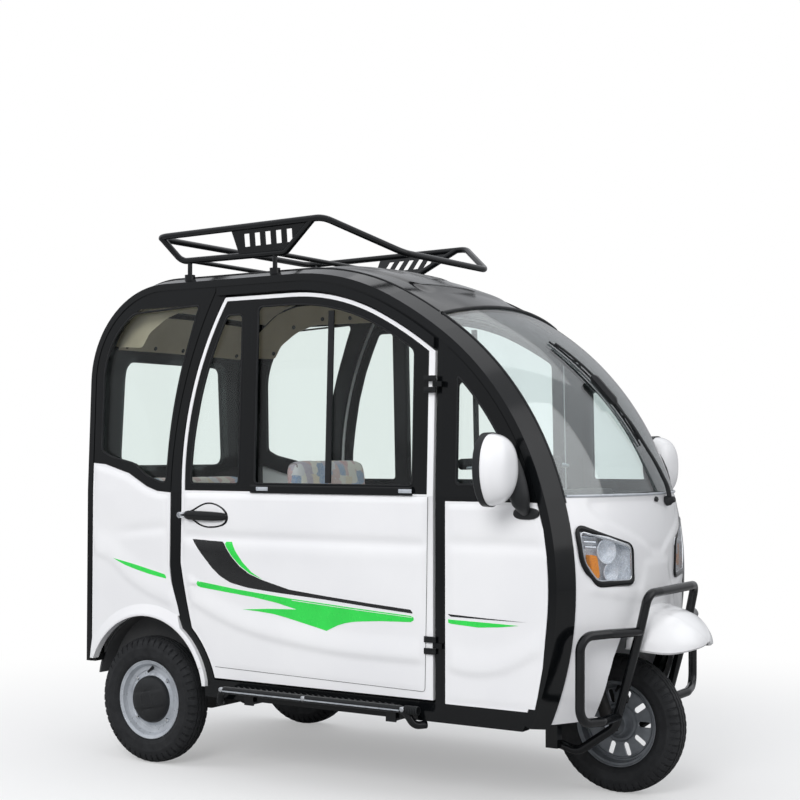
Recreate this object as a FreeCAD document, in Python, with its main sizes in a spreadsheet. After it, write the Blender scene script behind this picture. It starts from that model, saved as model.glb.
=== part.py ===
import FreeCAD, Part
import Sketcher
import math
import os
from types import SimpleNamespace

Vector = FreeCAD.Vector
ACROSS = Vector(0, 1, 0)
UP = Vector(0, 0, 1)

# Driving sizes in millimetres and degrees. X runs forward, Y to the left, Z up from the
# ground, and the origin lies on the ground midway between the axles.
SIZES = (
    ("wheelbase", 1542),
    ("tyre_radius", 215),
    ("tyre_width", 92),
    ("rim_radius", 134),
    ("rim_width", 66),
    ("rear_track", 880),
    ("half_width", 485),
    ("frame_depth", 45),
    ("roof_height", 1671),
    ("tail_reach", 310),
    ("nose_reach", 49),
    ("tail_bend", 354),
    ("roof_bend", 850),
    ("roof_bend_angle", 27),
    ("brow_bend", 1500),
    ("brow_bend_angle", 9),
    ("nose_bend", 980),
    ("apron_bend", 1010),
    ("belt_height", 930),
    ("lean_angle", 2),
    ("sill_bottom", 250),
    ("sill_height", 58),
    ("pillar_inset", 75),
    ("arch_radius", 258),
    ("arch_height", 245),
    ("panel_gap", 0.5),
    ("shell_gap", 0.4),
    ("panel_depth", 14),
    ("flange_width", 15),
    ("door_gap", 7),
    ("door_depth", 26),
    ("door_edging", 13),
    ("glass_depth", 5),
    ("shell_depth", 12),
    ("floor_height", 284),
    ("floor_depth", 6),
    ("deck_height", 460),
    ("rail_spread", 240),
    ("rail_side", 40),
    ("rake_angle", 20),
    ("fork_offset", 17),
    ("stem_radius", 15),
    ("fork_leg_radius", 20),
    ("fork_leg_gap", 9),
    ("axle_radius", 9),
    ("bore_gap", 0.4),
    ("hinge_out", 3),
    ("hinge_radius", 5.5),
    ("hinge_pin", 3),
    ("guard_tube", 28),
    ("rack_tube", 22),
    ("rack_half_width", 458),
    ("rack_lift", 149),
    ("step_tube", 24),
    ("bumper_tube", 28),
    ("seat_half_width", 225),
    ("seat_height", 690),
    ("bench_half_width", 365),
    ("bench_height", 650),
    ("cushion_depth", 80),
    ("soft_gap", 0.3),
    ("tyre_crown", 17),
    ("hub_spacer", 6),
    ("slot_count", 10),
    ("slot_start", 72),
    ("slot_end", 98),
    ("slot_radius", 9),
    ("base_wall", 6),
    ("seat_front", 880),
    ("seat_back", 470),
    ("bench_front", 285),
    ("bench_back", 178),
    ("backrest_height", 1050),
    ("bench_backrest_height", 985),
    ("battery_height", 190),
    ("battery_half_width", 180),
    ("axle_tube_radius", 25),
    ("motor_radius", 74),
    ("drum_radius", 62),
    ("spring_reach", 195),
    ("spring_eye_height", 325),
    ("spring_depth", 18),
    ("spring_width", 50),
    ("firewall_height", 740),
    ("rack_plate_depth", 3),
    ("rack_slot_width", 22),
    ("roof_pad_half_width", 270),
    ("roof_pad_height", 7),
    ("roof_rib_height", 5),
    ("roof_rib_width", 40),
    ("roof_rib_spacing", 84),
)

doc = FreeCAD.newDocument("tricycle")
sheet = doc.addObject("Spreadsheet::Sheet", "Sizes")
for row, (alias, value) in enumerate(SIZES, start=1):
    sheet.set("A%d" % row, alias)
    sheet.set("B%d" % row, str(value))
    sheet.setAlias("B%d" % row, alias)
doc.recompute()
size = SimpleNamespace(**{alias: float(sheet.get(alias)) for alias, value in SIZES})

parts = []


class Length:
    """A number together with the sheet's expression that gives it."""

    def __init__(self, value, text):
        self.value = float(value)
        self.text = text

    def __add__(self, other):
        other = length(other)
        return Length(self.value + other.value, "(%s + %s)" % (self.text, other.text))

    def __sub__(self, other):
        other = length(other)
        return Length(self.value - other.value, "(%s - %s)" % (self.text, other.text))

    def __mul__(self, other):
        other = length(other)
        return Length(self.value * other.value, "(%s * %s)" % (self.text, other.text))

    def __truediv__(self, other):
        other = length(other)
        return Length(self.value / other.value, "(%s / %s)" % (self.text, other.text))

    def __radd__(self, other):
        return length(other) + self

    def __rsub__(self, other):
        return length(other) - self

    def __rmul__(self, other):
        return length(other) * self

    def __neg__(self):
        return self * -1


def length(item):
    return item if isinstance(item, Length) else Length(item, "%.10g" % item)


def cosine(angle):
    return Length(math.cos(math.radians(angle.value)), "cos(%s)" % angle.text)


def sine(angle):
    return Length(math.sin(math.radians(angle.value)), "sin(%s)" % angle.text)


def tangent(angle):
    return Length(math.tan(math.radians(angle.value)), "tan(%s)" % angle.text)


def root(item):
    return Length(math.sqrt(item.value), "sqrt(%s)" % item.text)


def larger(one, other):
    one, other = length(one), length(other)
    return Length(max(one.value, other.value), "max(%s; %s)" % (one.text, other.text))


cell = SimpleNamespace(**{alias: Length(value, "Sizes." + alias) for alias, value in SIZES})
REAR_X = cell.wheelbase * -0.5
FRONT_X = cell.wheelbase * 0.5


def bind(thing, **amounts):
    """Ties an object's properties to the sheet's expressions."""
    for name, amount in amounts.items():
        thing.setExpression(name, length(amount).text)


def put(thing, x=0, y=0, z=0, axis=None, angle=0):
    """Places an object at bound coordinates, turned about an axis by a bound angle."""
    x, y, z, angle = (length(amount) for amount in (x, y, z, angle))
    turn = FreeCAD.Rotation(axis or UP, angle.value)
    thing.Placement = FreeCAD.Placement(Vector(x.value, y.value, z.value), turn)
    for name, amount in (("x", x), ("y", y), ("z", z)):
        thing.setExpression("Placement.Base." + name, amount.text)
    if axis and "Sizes" in angle.text:
        thing.setExpression("Placement.Rotation.Angle", angle.text)
    return thing


def bound_box(name, x_low, x_high, y_low, y_high, z_low, z_high):
    """A Part box between bound coordinates."""
    box = doc.addObject("Part::Box", name)
    bind(box, Length=length(x_high) - x_low, Width=length(y_high) - y_low, Height=length(z_high) - z_low)
    return put(box, x_low, y_low, z_low)


def bound_rod(name, radius, reach, x, y, z, axis=None, angle=0):
    """A Part cylinder of a bound radius and length, from a bound place."""
    cylinder = doc.addObject("Part::Cylinder", name)
    bind(cylinder, Radius=radius, Height=reach)
    return put(cylinder, x, y, z, axis, angle)


def rod_across(name, radius, x, y_low, y_high, z):
    return bound_rod(name, radius, length(y_high) - y_low, x, y_low, z, Vector(1, 0, 0), -90)


def joined(name, pieces):
    """Several document objects fused into one."""
    fuse = doc.addObject("Part::MultiFuse", name)
    fuse.Shapes = pieces
    fuse.Refine = True
    return fuse


def carved(name, base, tool):
    cut = doc.addObject("Part::Cut", name)
    cut.Base = base
    cut.Tool = tool
    cut.Refine = True
    return cut


def reflected(name, source):
    """The same object on the other side of the vehicle."""
    mirror = doc.addObject("Part::Mirroring", name)
    mirror.Source = source
    mirror.Normal = ACROSS
    return mirror


def gathered(name, pieces):
    group = doc.addObject("Part::Compound", name)
    group.Links = pieces
    return group


def origin_plane(body, role):
    return next(item for item in body.Origin.OriginFeatures if item.Role == role)


def new_body(name, x=0, y=0, z=0):
    return put(doc.addObject("PartDesign::Body", name), x, y, z)


def new_sketch(body, name, role, lift=0):
    """A sketch on one of a body's own origin planes, lifted off it by a bound distance."""
    sketch = body.newObject("Sketcher::SketchObject", name)
    sketch.AttachmentSupport = [(origin_plane(body, role), "")]
    sketch.MapMode = "FlatFace"
    lift = length(lift)
    if lift.value:
        sketch.AttachmentOffset = FreeCAD.Placement(Vector(0, 0, lift.value), FreeCAD.Rotation())
        sketch.setExpression("AttachmentOffset.Base.z", lift.text)
    return sketch


def dimension(sketch, kind, *about):
    """Adds a dimension whose last value is bound to the sheet."""
    amount = length(about[-1])
    index = sketch.addConstraint(Sketcher.Constraint(kind, *about[:-1], amount.value))
    if "Sizes" in amount.text:
        sketch.setExpression("Constraints[%d]" % index, amount.text)


def pin(sketch, edge, end, u, v):
    """Holds a point of a sketch at bound coordinates from its origin."""
    for kind, line, amount in (("DistanceX", -2, length(u)), ("DistanceY", -1, length(v))):
        if amount.value:
            dimension(sketch, kind, -1, 1, edge, end, amount)
        else:
            sketch.addConstraint(Sketcher.Constraint("PointOnObject", edge, end, line))


def draw_outline(sketch, corners):
    """A closed outline of straight lines through bound corners."""
    corners = [(length(u), length(v)) for u, v in corners]
    places = [Vector(u.value, v.value, 0) for u, v in corners]
    base = sketch.GeometryCount
    count = len(places)
    for at, after in zip(places, places[1:] + places[:1]):
        sketch.addGeometry(Part.LineSegment(at, after), False)
    for i in range(count):
        after = (i + 1) % count
        sketch.addConstraint(Sketcher.Constraint("Coincident", base + i, 2, base + after, 1))
    for i, (u, v) in enumerate(corners):
        pin(sketch, base + i, 1, u, v)


def draw_rectangle(sketch, u_low, u_high, v_low, v_high):
    draw_outline(sketch, [(u_low, v_low), (u_high, v_low), (u_high, v_high), (u_low, v_high)])


def draw_slot(sketch, u_low, u_high, v, radius):
    """A slot with round ends, from one centre to the other along the sketch's X."""
    u_low, u_high, v, radius = (length(amount) for amount in (u_low, u_high, v, radius))
    base = sketch.GeometryCount
    quarter = math.pi / 2
    for u, start in ((u_low, quarter), (u_high, -quarter)):
        ring = Part.Circle(Vector(u.value, v.value, 0), Vector(0, 0, 1), radius.value)
        sketch.addGeometry(Part.ArcOfCircle(ring, start, start + math.pi), False)
    for sign in (1, -1):
        edge = v.value + sign * radius.value
        ends = [Vector(u_low.value, edge, 0), Vector(u_high.value, edge, 0)]
        sketch.addGeometry(Part.LineSegment(*ends), False)
    for arc, arc_end, line, line_end in ((0, 1, 2, 1), (0, 2, 3, 1), (1, 2, 2, 2), (1, 1, 3, 2)):
        kind = Sketcher.Constraint("Tangent", base + arc, arc_end, base + line, line_end)
        sketch.addConstraint(kind)
    sketch.addConstraint(Sketcher.Constraint("Equal", base, base + 1))
    dimension(sketch, "Radius", base, radius)
    pin(sketch, base, 3, u_low, v)
    dimension(sketch, "DistanceX", -1, 1, base + 1, 3, u_high)


def feature(body, kind, name, sketch, **settings):
    """A PartDesign feature made from a sketch, which becomes the body's tip."""
    made = body.newObject("PartDesign::" + kind, name)
    made.Profile = sketch
    for key, setting in settings.items():
        if isinstance(setting, Length):
            setattr(made, key, setting.value)
            made.setExpression(key, setting.text)
        else:
            setattr(made, key, setting)
    body.Tip = made
    return made


def hand_over(label, made):
    """Lists a finished document object as one sub-part."""
    made.Label = label
    parts.append(made)
    return made


def rear(reach):
    """X of a place measured forward from the rear axle."""
    return reach - size.wheelbase / 2


def front(reach):
    """X of a place measured forward from the front axle."""
    return reach + size.wheelbase / 2


def settled(shape):
    """The same shape with its own placement worked into its geometry."""
    matrix = shape.Placement.toMatrix()
    plain = shape.copy()
    plain.Placement = FreeCAD.Placement()
    return plain.transformed(matrix, True)


def solid_object(name, shape):
    """A document object that holds a shape made with the sheet's sizes."""
    made = doc.addObject("Part::Feature", name)
    made.Shape = settled(shape)
    made.Placement = FreeCAD.Placement()
    return made


def keep(label, shape):
    return hand_over(label, solid_object(label, shape))


def pair(label, right):
    """A right-hand sub-part and its mirror image as a sub-part of its own."""
    hand_over(label + "_right", right)
    hand_over(label + "_left", reflected(label + "_left", right))


def twins(label, right):
    """One sub-part of two equal pieces, one on each side."""
    hand_over(label, gathered(label, [right, reflected(label + "_mirror", right)]))


def mirrored(shape):
    return shape.mirror(Vector(0, 0, 0), ACROSS)


def fused(shapes):
    return shapes[0].multiFuse(shapes[1:]).removeSplitter()


def both_sides(shape):
    return Part.makeCompound([shape, mirrored(shape)])


def wire_from(steps, y=0.0):
    """A closed wire in the XZ plane. A step of two numbers is a line to (x, z), and one of
    four numbers is an arc through (x1, z1) to (x2, z2)."""
    first = Vector(steps[0][0], y, steps[0][1])
    at = first
    edges = []
    for step in steps[1:]:
        end = Vector(step[-2], y, step[-1])
        if len(step) == 4:
            edges.append(Part.Arc(at, Vector(step[0], y, step[1]), end).toShape())
        elif (end - at).Length > 1e-6:
            edges.append(Part.LineSegment(at, end).toShape())
        at = end
    if (at - first).Length > 1e-6:
        edges.append(Part.LineSegment(at, first).toShape())
    return Part.Wire(edges)


def face_from(steps, y=0.0):
    return Part.Face(wire_from(steps, y))


def grown(face, distance):
    """A flat face with its edge moved outward, or inward where the distance is negative."""
    return face.makeOffset2D(distance)


def rounded(face, radius):
    return grown(grown(face, -radius), radius)


def window_box(x_low, x_high, z_low, z_high):
    return face_from([(x_low, z_low), (x_high, z_low), (x_high, z_high), (x_low, z_high)])


def slab(face, depth_out, depth_in):
    """A right-hand side piece between two depths behind the outer side plane."""
    moved = face.copy()
    moved.translate(Vector(0, -size.half_width + depth_out, 0))
    return moved.extrude(Vector(0, depth_in - depth_out, 0))


def block(x_low, x_high, y_low, y_high, z_low, z_high):
    corner = Vector(x_low, y_low, z_low)
    return Part.makeBox(x_high - x_low, y_high - y_low, z_high - z_low, corner)


def leaned(shape):
    """The side above the belt line leans inward, hinged on the belt line of the right side."""
    far = 4 * size.roof_height
    hinge = Vector(0, -size.half_width, size.belt_height)
    ahead = Vector(1, 0, 0)
    over = block(-far, far, -far, far, size.belt_height, far)
    under = block(-far, far, -far, far, -far, size.belt_height)
    over.rotate(hinge, ahead, size.lean_angle / 2)
    under.rotate(hinge, ahead, -size.lean_angle / 2)
    lower = shape.common(under)
    upper = shape.common(over)
    upper.rotate(hinge, ahead, -size.lean_angle)
    upper = settled(upper)
    if lower.Volume < 1:
        return upper
    return lower.fuse(upper).removeSplitter()


def lean_shift(z):
    """How far the side has moved inward at a height."""
    return max(0.0, z - size.belt_height) * math.tan(math.radians(size.lean_angle))


def tube(points, diameter, bend):
    """A round tube along straight runs joined by tangent arcs."""
    places = [Vector(*point) for point in points]
    edges = []
    at = places[0]
    for before, corner, after in zip(places, places[1:], places[2:]):
        back = (before - corner).normalize()
        ahead = (after - corner).normalize()
        half = back.getAngle(ahead) / 2
        if half > 1.56:
            continue
        reach = min(bend / math.tan(half), 0.45 * (before - corner).Length, 0.45 * (after - corner).Length)
        radius = reach * math.tan(half)
        bisector = (back + ahead).normalize()
        centre = corner + bisector * (radius / math.sin(half))
        enter = corner + back * reach
        leave = corner + ahead * reach
        middle = centre - bisector * radius
        edges.append(Part.LineSegment(at, enter).toShape())
        edges.append(Part.Arc(enter, middle, leave).toShape())
        at = leave
    edges.append(Part.LineSegment(at, places[-1]).toShape())
    path = Part.Wire(edges)
    ring = Part.Wire(Part.makeCircle(diameter / 2, places[0], places[1] - places[0]))
    return path.makePipeShell([ring], True, False)


def rod(start, end, radius):
    start = Vector(*start)
    along = Vector(*end) - start
    return Part.makeCylinder(radius, along.Length, start, along)


# The outline of the body seen from the side is a chain of tangent arcs: up the tail, over the
# tail bend, along the flat roof, down the roof bend, brow and nose, and back along the apron.
NOSE_X = front(size.nose_reach)
TAIL_X = rear(-size.tail_reach)
ROOF_END = 90 - size.roof_bend_angle
BROW_END = ROOF_END - size.brow_bend_angle


def polar(centre, radius, angle):
    turn = math.radians(angle)
    return (centre[0] + radius * math.cos(turn), centre[1] + radius * math.sin(turn))


def outline_arcs():
    """Each arc of the outline: its centre, radius, and first and last angle."""
    run = size.nose_bend * (1 - math.cos(math.radians(BROW_END)))
    rise = size.nose_bend * math.sin(math.radians(BROW_END))
    brow_run = size.brow_bend * (math.cos(math.radians(BROW_END)) - math.cos(math.radians(ROOF_END)))
    brow_rise = size.brow_bend * (math.sin(math.radians(ROOF_END)) - math.sin(math.radians(BROW_END)))
    roof_run = size.roof_bend * math.cos(math.radians(ROOF_END))
    roof_drop = size.roof_bend * (1 - math.sin(math.radians(ROOF_END)))
    flat_end = NOSE_X - run - brow_run - roof_run
    nose_z = size.roof_height - roof_drop - brow_rise - rise
    roof = (flat_end, size.roof_height - size.roof_bend)
    brow = polar(roof, size.roof_bend - size.brow_bend, ROOF_END)
    nose = (NOSE_X - size.nose_bend, nose_z)
    apron = (NOSE_X - size.apron_bend, nose_z)
    tail = (TAIL_X + size.tail_bend, size.roof_height - size.tail_bend)
    apron_end = -math.degrees(math.asin((nose_z - size.sill_bottom) / size.apron_bend))
    return {
        "tail": (tail, size.tail_bend, 180, 90),
        "roof": (roof, size.roof_bend, 90, ROOF_END),
        "brow": (brow, size.brow_bend, ROOF_END, BROW_END),
        "nose": (nose, size.nose_bend, BROW_END, 0),
        "apron": (apron, size.apron_bend, 0, apron_end),
    }


ARCS = outline_arcs()
TAIL_FOOT = size.sill_bottom + 80


def bound_arcs():
    """The centre and radius of each arc of the outline, with their expressions."""
    roof_end = 90 - cell.roof_bend_angle
    brow_end = roof_end - cell.brow_bend_angle
    roof_x = FRONT_X + cell.nose_reach - cell.nose_bend * (1 - cosine(brow_end))
    roof_x = roof_x - cell.brow_bend * (cosine(brow_end) - cosine(roof_end)) - cell.roof_bend * cosine(roof_end)
    roof_z = cell.roof_height - cell.roof_bend
    nose_z = roof_z + cell.roof_bend * sine(roof_end)
    nose_z = nose_z - cell.brow_bend * (sine(roof_end) - sine(brow_end)) - cell.nose_bend * sine(brow_end)
    drop = cell.roof_bend - cell.brow_bend
    nose_x = FRONT_X + cell.nose_reach
    return {
        "tail": (REAR_X - cell.tail_reach + cell.tail_bend, cell.roof_height - cell.tail_bend, cell.tail_bend),
        "roof": (roof_x, roof_z, cell.roof_bend),
        "brow": (roof_x + drop * cosine(roof_end), roof_z + drop * sine(roof_end), cell.brow_bend),
        "nose": (nose_x - cell.nose_bend, nose_z, cell.nose_bend),
        "apron": (nose_x - cell.apron_bend, nose_z, cell.apron_bend),
    }


BOUND_ARCS = bound_arcs()


def on_arc(name, angle):
    """Bound coordinates of a place on one arc of the outline."""
    x, z, radius = BOUND_ARCS[name]
    return x + cosine(length(angle)) * radius, z + sine(length(angle)) * radius


def on_front(angle):
    for name in ("roof", "brow", "nose", "apron"):
        if ARCS[name][2] >= angle >= ARCS[name][3] - 1e-9:
            return on_arc(name, angle)
    raise ValueError("no such station")


def station(angle, offset=0.0):
    """A place on the outline by its normal's angle, with 90 at the end of the flat roof."""
    for name in ("roof", "brow", "nose", "apron"):
        centre, radius, first, last = ARCS[name]
        if first >= angle >= last - 1e-9:
            return polar(centre, radius + offset, angle)
    raise ValueError("no such station")


def outline_at(z, offset=0.0):
    """X of the outline's front at a height below the brow."""
    name = "nose" if z >= ARCS["nose"][0][1] else "apron"
    centre, radius, first, last = ARCS[name]
    return centre[0] + math.sqrt((radius + offset) ** 2 - (z - centre[1]) ** 2)


def outline_steps(offset, foot):
    """The whole outline moved outward by an offset, with a straight sill at the given foot."""
    tail, tail_radius = ARCS["tail"][:2]
    steps = [
        (tail[0] - tail_radius - offset, foot),
        (tail[0] - tail_radius - offset, tail[1]),
        polar(tail, tail_radius + offset, 135) + polar(tail, tail_radius + offset, 90),
        polar(ARCS["roof"][0], size.roof_bend + offset, 90),
    ]
    for name in ("roof", "brow", "nose"):
        centre, radius, first, last = ARCS[name]
        middle = polar(centre, radius + offset, (first + last) / 2)
        steps.append(middle + polar(centre, radius + offset, last))
    centre, radius = ARCS["apron"][:2]
    drop = math.degrees(math.asin((foot - centre[1]) / (radius + offset)))
    steps.append(polar(centre, radius + offset, drop / 2) + polar(centre, radius + offset, drop))
    return steps


def outline_face(offset, foot):
    return face_from(outline_steps(offset, foot))


# Openings of the right side, drawn before the lean. The strip is the pillar behind the door.
def strip_steps():
    """The rear edge of the pillar behind the door, from the roof down to the wheel arch."""
    clear = size.arch_radius + 16
    hub = (rear(0), size.arch_height)
    return [
        (rear(277), 1605),
        (rear(137), 1232, rear(102), size.belt_height),
        (rear(100), 680),
        polar(hub, clear + 66, 69) + polar(hub, clear, 55),
        polar(hub, clear, 33) + polar(hub, clear, 12),
    ]


def door_opening():
    top = size.door_gap + 2
    roofline = outline_face(-82, size.sill_bottom - 100)
    sill_top = size.sill_bottom + size.sill_height
    hub = (rear(0), size.arch_height)
    reach = size.arch_radius + 40
    region = face_from([
        (rear(296), sill_top),
        (front(-386), sill_top),
        (front(-386), size.roof_height),
        (rear(400), size.roof_height),
        (rear(313), 1572 + top),
        (rear(167), 1205, rear(146), size.belt_height),
        (rear(143), 691),
        (rear(166), 582) + polar(hub, reach, 49),
        polar(hub, reach, 31) + (rear(296), sill_top),
    ])
    return region.common(roofline).Faces[0]


def rear_panel_opening():
    """The white rear side panel's outline, closed straight across the wheel arch."""
    strip = strip_steps()
    low = size.arch_height + 40
    back = TAIL_X + 53
    belt = size.belt_height
    return face_from([
        (back, TAIL_FOOT + 12),
        (back, belt + 96),
        (rear(-203), belt + 92),
        (rear(-91), belt + 61),
        (rear(-6), belt + 16),
        (rear(42), belt + 1),
        (rear(102), size.belt_height - 3),
        (rear(100), 680),
        strip[3],
        strip[4],
        (rear(268), low),
        (rear(200), low),
        (rear(-200), TAIL_FOOT + 12),
    ])


def rear_window_opening():
    strip = strip_steps()
    belt = size.belt_height
    region = face_from([
        (TAIL_X, belt + 104),
        (rear(-203), belt + 98),
        (rear(-91), belt + 67),
        (rear(-6), belt + 22),
        (rear(42), belt + 7),
        (rear(102), size.belt_height + 3),
        strip[1][:2] + strip[0],
        (rear(277), size.roof_height),
        (TAIL_X, size.roof_height),
    ])
    return region.common(outline_face(-53, size.sill_bottom - 100)).Faces[0]


def rear_glass_hole():
    belt = size.belt_height
    region = face_from([
        (rear(-222), belt + 140),
        (rear(-178), belt + 118),
        (rear(-66), belt + 94),
        (rear(-4), belt + 50),
        (rear(55), belt + 32),
        (rear(80), belt + 32),
        (rear(107), 1229, rear(210), 1562),
        (rear(-222), 1562),
    ])
    return rounded(region.common(outline_face(-89, size.sill_bottom - 100)).Faces[0], 16)


def front_opening(z_low, z_high):
    region = window_box(front(-350), NOSE_X + 100, z_low, z_high)
    return region.common(outline_face(-53, size.sill_bottom - 100)).Faces[0]


def front_glass_hole():
    region = window_box(front(-313), NOSE_X + 100, size.belt_height + 36, size.roof_height)
    return rounded(region.common(outline_face(-96, size.sill_bottom - 100)).Faces[0], 14)


def door_small_hole():
    return rounded(face_from([
        (rear(190), size.belt_height + 28),
        (rear(395), size.belt_height + 28),
        (rear(395), 1522),
        (rear(330), 1522),
        (rear(228), 1262, rear(190), size.belt_height + 70),
    ]), 16)


def door_main_hole():
    region = window_box(rear(461), front(-468), size.belt_height + 30, size.roof_height)
    return rounded(region.common(outline_face(-127, size.sill_bottom - 100)).Faces[0], 18)


DOOR_OPENING = door_opening()
REAR_PANEL_OPENING = rear_panel_opening()
REAR_WINDOW_OPENING = rear_window_opening()
FRONT_PANEL_OPENING = front_opening(size.sill_bottom + size.sill_height, size.belt_height - 14)
FRONT_WINDOW_OPENING = front_opening(size.belt_height - 12, size.roof_height)
REAR_HOLE = rear_glass_hole()
FRONT_HOLE = front_glass_hole()
SMALL_HOLE = door_small_hole()
MAIN_HOLE = door_main_hole()


def hoop():
    """The black hoop: one section of (offset from the outline, distance from the middle),
    turned about the centre of each arc and pushed along each straight."""
    inset = size.half_width - size.pillar_inset
    section = (
        (-50, size.half_width),
        (-26, size.half_width - 1.5),
        (0, inset),
        (-20, inset),
        (-50, inset + 30),
    )

    def section_face(place):
        corners = [Vector(place(offset)[0], -side, place(offset)[1]) for offset, side in section]
        return Part.Face(Part.makePolygon(corners + corners[:1]))

    tail, tail_radius = ARCS["tail"][:2]
    flat = ARCS["roof"][0][0] - tail[0]
    upright = section_face(lambda offset: (TAIL_X - offset, TAIL_FOOT))
    level = section_face(lambda offset: (tail[0], size.roof_height + offset))
    pieces = [upright.extrude(UP * (tail[1] - TAIL_FOOT)), level.extrude(Vector(flat, 0, 0))]
    for name, (centre, radius, first, last) in ARCS.items():
        start = section_face(lambda offset: polar(centre, radius + offset, first))
        pivot = Vector(centre[0], 0, centre[1])
        pieces.append(start.revolve(pivot, ACROSS, first - last))
    return fused(pieces)


def gutter():
    """The drip channel over the door stands proud of the side."""
    ring = outline_face(-56, size.sill_bottom - 100).cut(outline_face(-82, size.sill_bottom - 100))
    over_door = window_box(rear(290), front(-392), 1380, size.roof_height)
    return slab(ring.common(over_door), -12, 20)


def side_frame():
    clear = outline_face(-46, size.sill_bottom)
    hub = Vector(rear(0), 0, size.arch_height)
    foot = window_box(TAIL_X - 10, rear(255), size.sill_bottom - 10, TAIL_FOOT)
    arch = Part.Face(Part.Wire(Part.makeCircle(size.arch_radius, hub, ACROSS)))
    body = slab(clear.cut(foot).cut(arch), 3, size.frame_depth)
    far = size.frame_depth + 20
    holes = (
        (DOOR_OPENING, size.door_depth + size.door_gap),
        (REAR_PANEL_OPENING, size.panel_depth + size.panel_gap),
        (REAR_WINDOW_OPENING, size.panel_depth + size.panel_gap),
        (FRONT_PANEL_OPENING, size.panel_depth + size.panel_gap),
        (FRONT_WINDOW_OPENING, size.panel_depth + size.panel_gap),
    )
    for opening, seat in holes:
        body = body.cut(slab(opening, -20, seat))
        body = body.cut(slab(grown(opening, -size.flange_width), -20, far))
    whole = fused([body, hoop(), gutter()])
    under = block(front(-600), NOSE_X + 100, -2 * size.half_width, 0, 0, size.sill_bottom)
    return fused([leaned(whole.cut(under))] + frame_hinges())


def rear_quarter_panel():
    """The white rear side panel with the flared lip of the wheel arch."""
    hub = Vector(rear(0), 0, size.arch_height)
    arch = Part.Face(Part.Wire(Part.makeCircle(size.arch_radius, hub, ACROSS)))
    outline = grown(REAR_PANEL_OPENING, -size.panel_gap).cut(arch)
    panel = slab(outline, 0, size.panel_depth)
    side = -size.half_width
    lip = Part.makePolygon([
        hub + Vector(0, side + 6, size.arch_radius),
        hub + Vector(0, side - 12, size.arch_radius),
        hub + Vector(0, side - 12, size.arch_radius + 12),
        hub + Vector(0, side + 1, size.arch_radius + 50),
        hub + Vector(0, side + 6, size.arch_radius + 50),
        hub + Vector(0, side + 6, size.arch_radius),
    ])
    ring = Part.Face(lip).revolve(hub, ACROSS, 360)
    return panel.fuse(ring.common(slab(outline, -30, size.panel_depth))).removeSplitter()


def front_quarter_panel():
    return slab(grown(FRONT_PANEL_OPENING, -size.panel_gap), 0, size.panel_depth)


def window_surround(opening, hole):
    outer = slab(grown(opening, -size.panel_gap), 1, size.panel_depth)
    return leaned(outer.cut(slab(hole, -20, size.panel_depth + 20)))


def side_glass(hole, depth):
    """A pane behind a window's frame, larger than the hole all round."""
    return leaned(slab(grown(hole, 8), depth, depth + size.glass_depth))


HINGE_X = front(-386)
HINGE_Y = -size.half_width - size.hinge_out
HINGE_HEIGHTS = (480, 1270)


def hinge_strap(z_low, z_high, ahead, surface):
    """A strap from the hinge line to a side surface, ahead of the line or behind it."""
    near, far = (0, 28) if ahead > 0 else (-34, 0)
    step = (1, 28) if ahead > 0 else (-34, -size.door_gap)
    inner = surface - lean_shift((z_low + z_high) / 2)
    proud = block(HINGE_X + near, HINGE_X + far, HINGE_Y - 3, HINGE_Y + 3, z_low, z_high)
    root = block(HINGE_X + step[0], HINGE_X + step[1], HINGE_Y + 2, 1.5 - inner, z_low, z_high)
    return proud.fuse(root)


def frame_hinges():
    """The middle knuckle and pin of each door hinge, strapped to the front post."""
    pieces = []
    for z in HINGE_HEIGHTS:
        pieces.append(rod((HINGE_X, HINGE_Y, z - 26), (HINGE_X, HINGE_Y, z + 26), size.hinge_pin))
        pieces.append(rod((HINGE_X, HINGE_Y, z - 8), (HINGE_X, HINGE_Y, z + 8), size.hinge_radius))
        pieces.append(hinge_strap(z - 8, z + 8, 1, size.half_width - 3))
    return pieces


def door_hinges():
    """The two outer knuckles of each door hinge, bored for the pin."""
    pieces = []
    for z in HINGE_HEIGHTS:
        for low in (z - 26, z + 9):
            pieces.append(rod((HINGE_X, HINGE_Y, low), (HINGE_X, HINGE_Y, low + 17), size.hinge_radius))
            pieces.append(hinge_strap(low, low + 17, -1, size.half_width))
    bore = rod((HINGE_X, HINGE_Y, 0), (HINGE_X, HINGE_Y, size.roof_height), size.hinge_pin + size.bore_gap)
    return fused(pieces).cut(bore)


def door_outline():
    return grown(DOOR_OPENING, -size.door_gap)


def door_window_outline():
    """The black window frame of the door lies inside the white edging."""
    region = window_box(rear(100), front(-415), size.belt_height + 5, size.roof_height)
    return grown(door_outline(), -size.door_edging).common(region).Faces[0]


def door_panel():
    whole = slab(door_outline(), 0, size.door_depth)
    recess = slab(grown(door_window_outline(), size.panel_gap), -20, size.door_depth + 20)
    return leaned(whole.cut(recess)).fuse(door_hinges()).removeSplitter()


def door_window_frame():
    body = slab(door_window_outline(), 2, 20)
    pocket = 2 + size.glass_depth + 3
    for hole in (SMALL_HOLE, MAIN_HOLE):
        body = body.cut(slab(hole, -20, 40))
        body = body.cut(slab(grown(hole, 8 + size.panel_gap), pocket, 40))
    return leaned(body)


def door_glass():
    depth = 2 + size.glass_depth + 3
    panes = [side_glass(hole, depth) for hole in (SMALL_HOLE, MAIN_HOLE)]
    return Part.makeCompound(panes)


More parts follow.
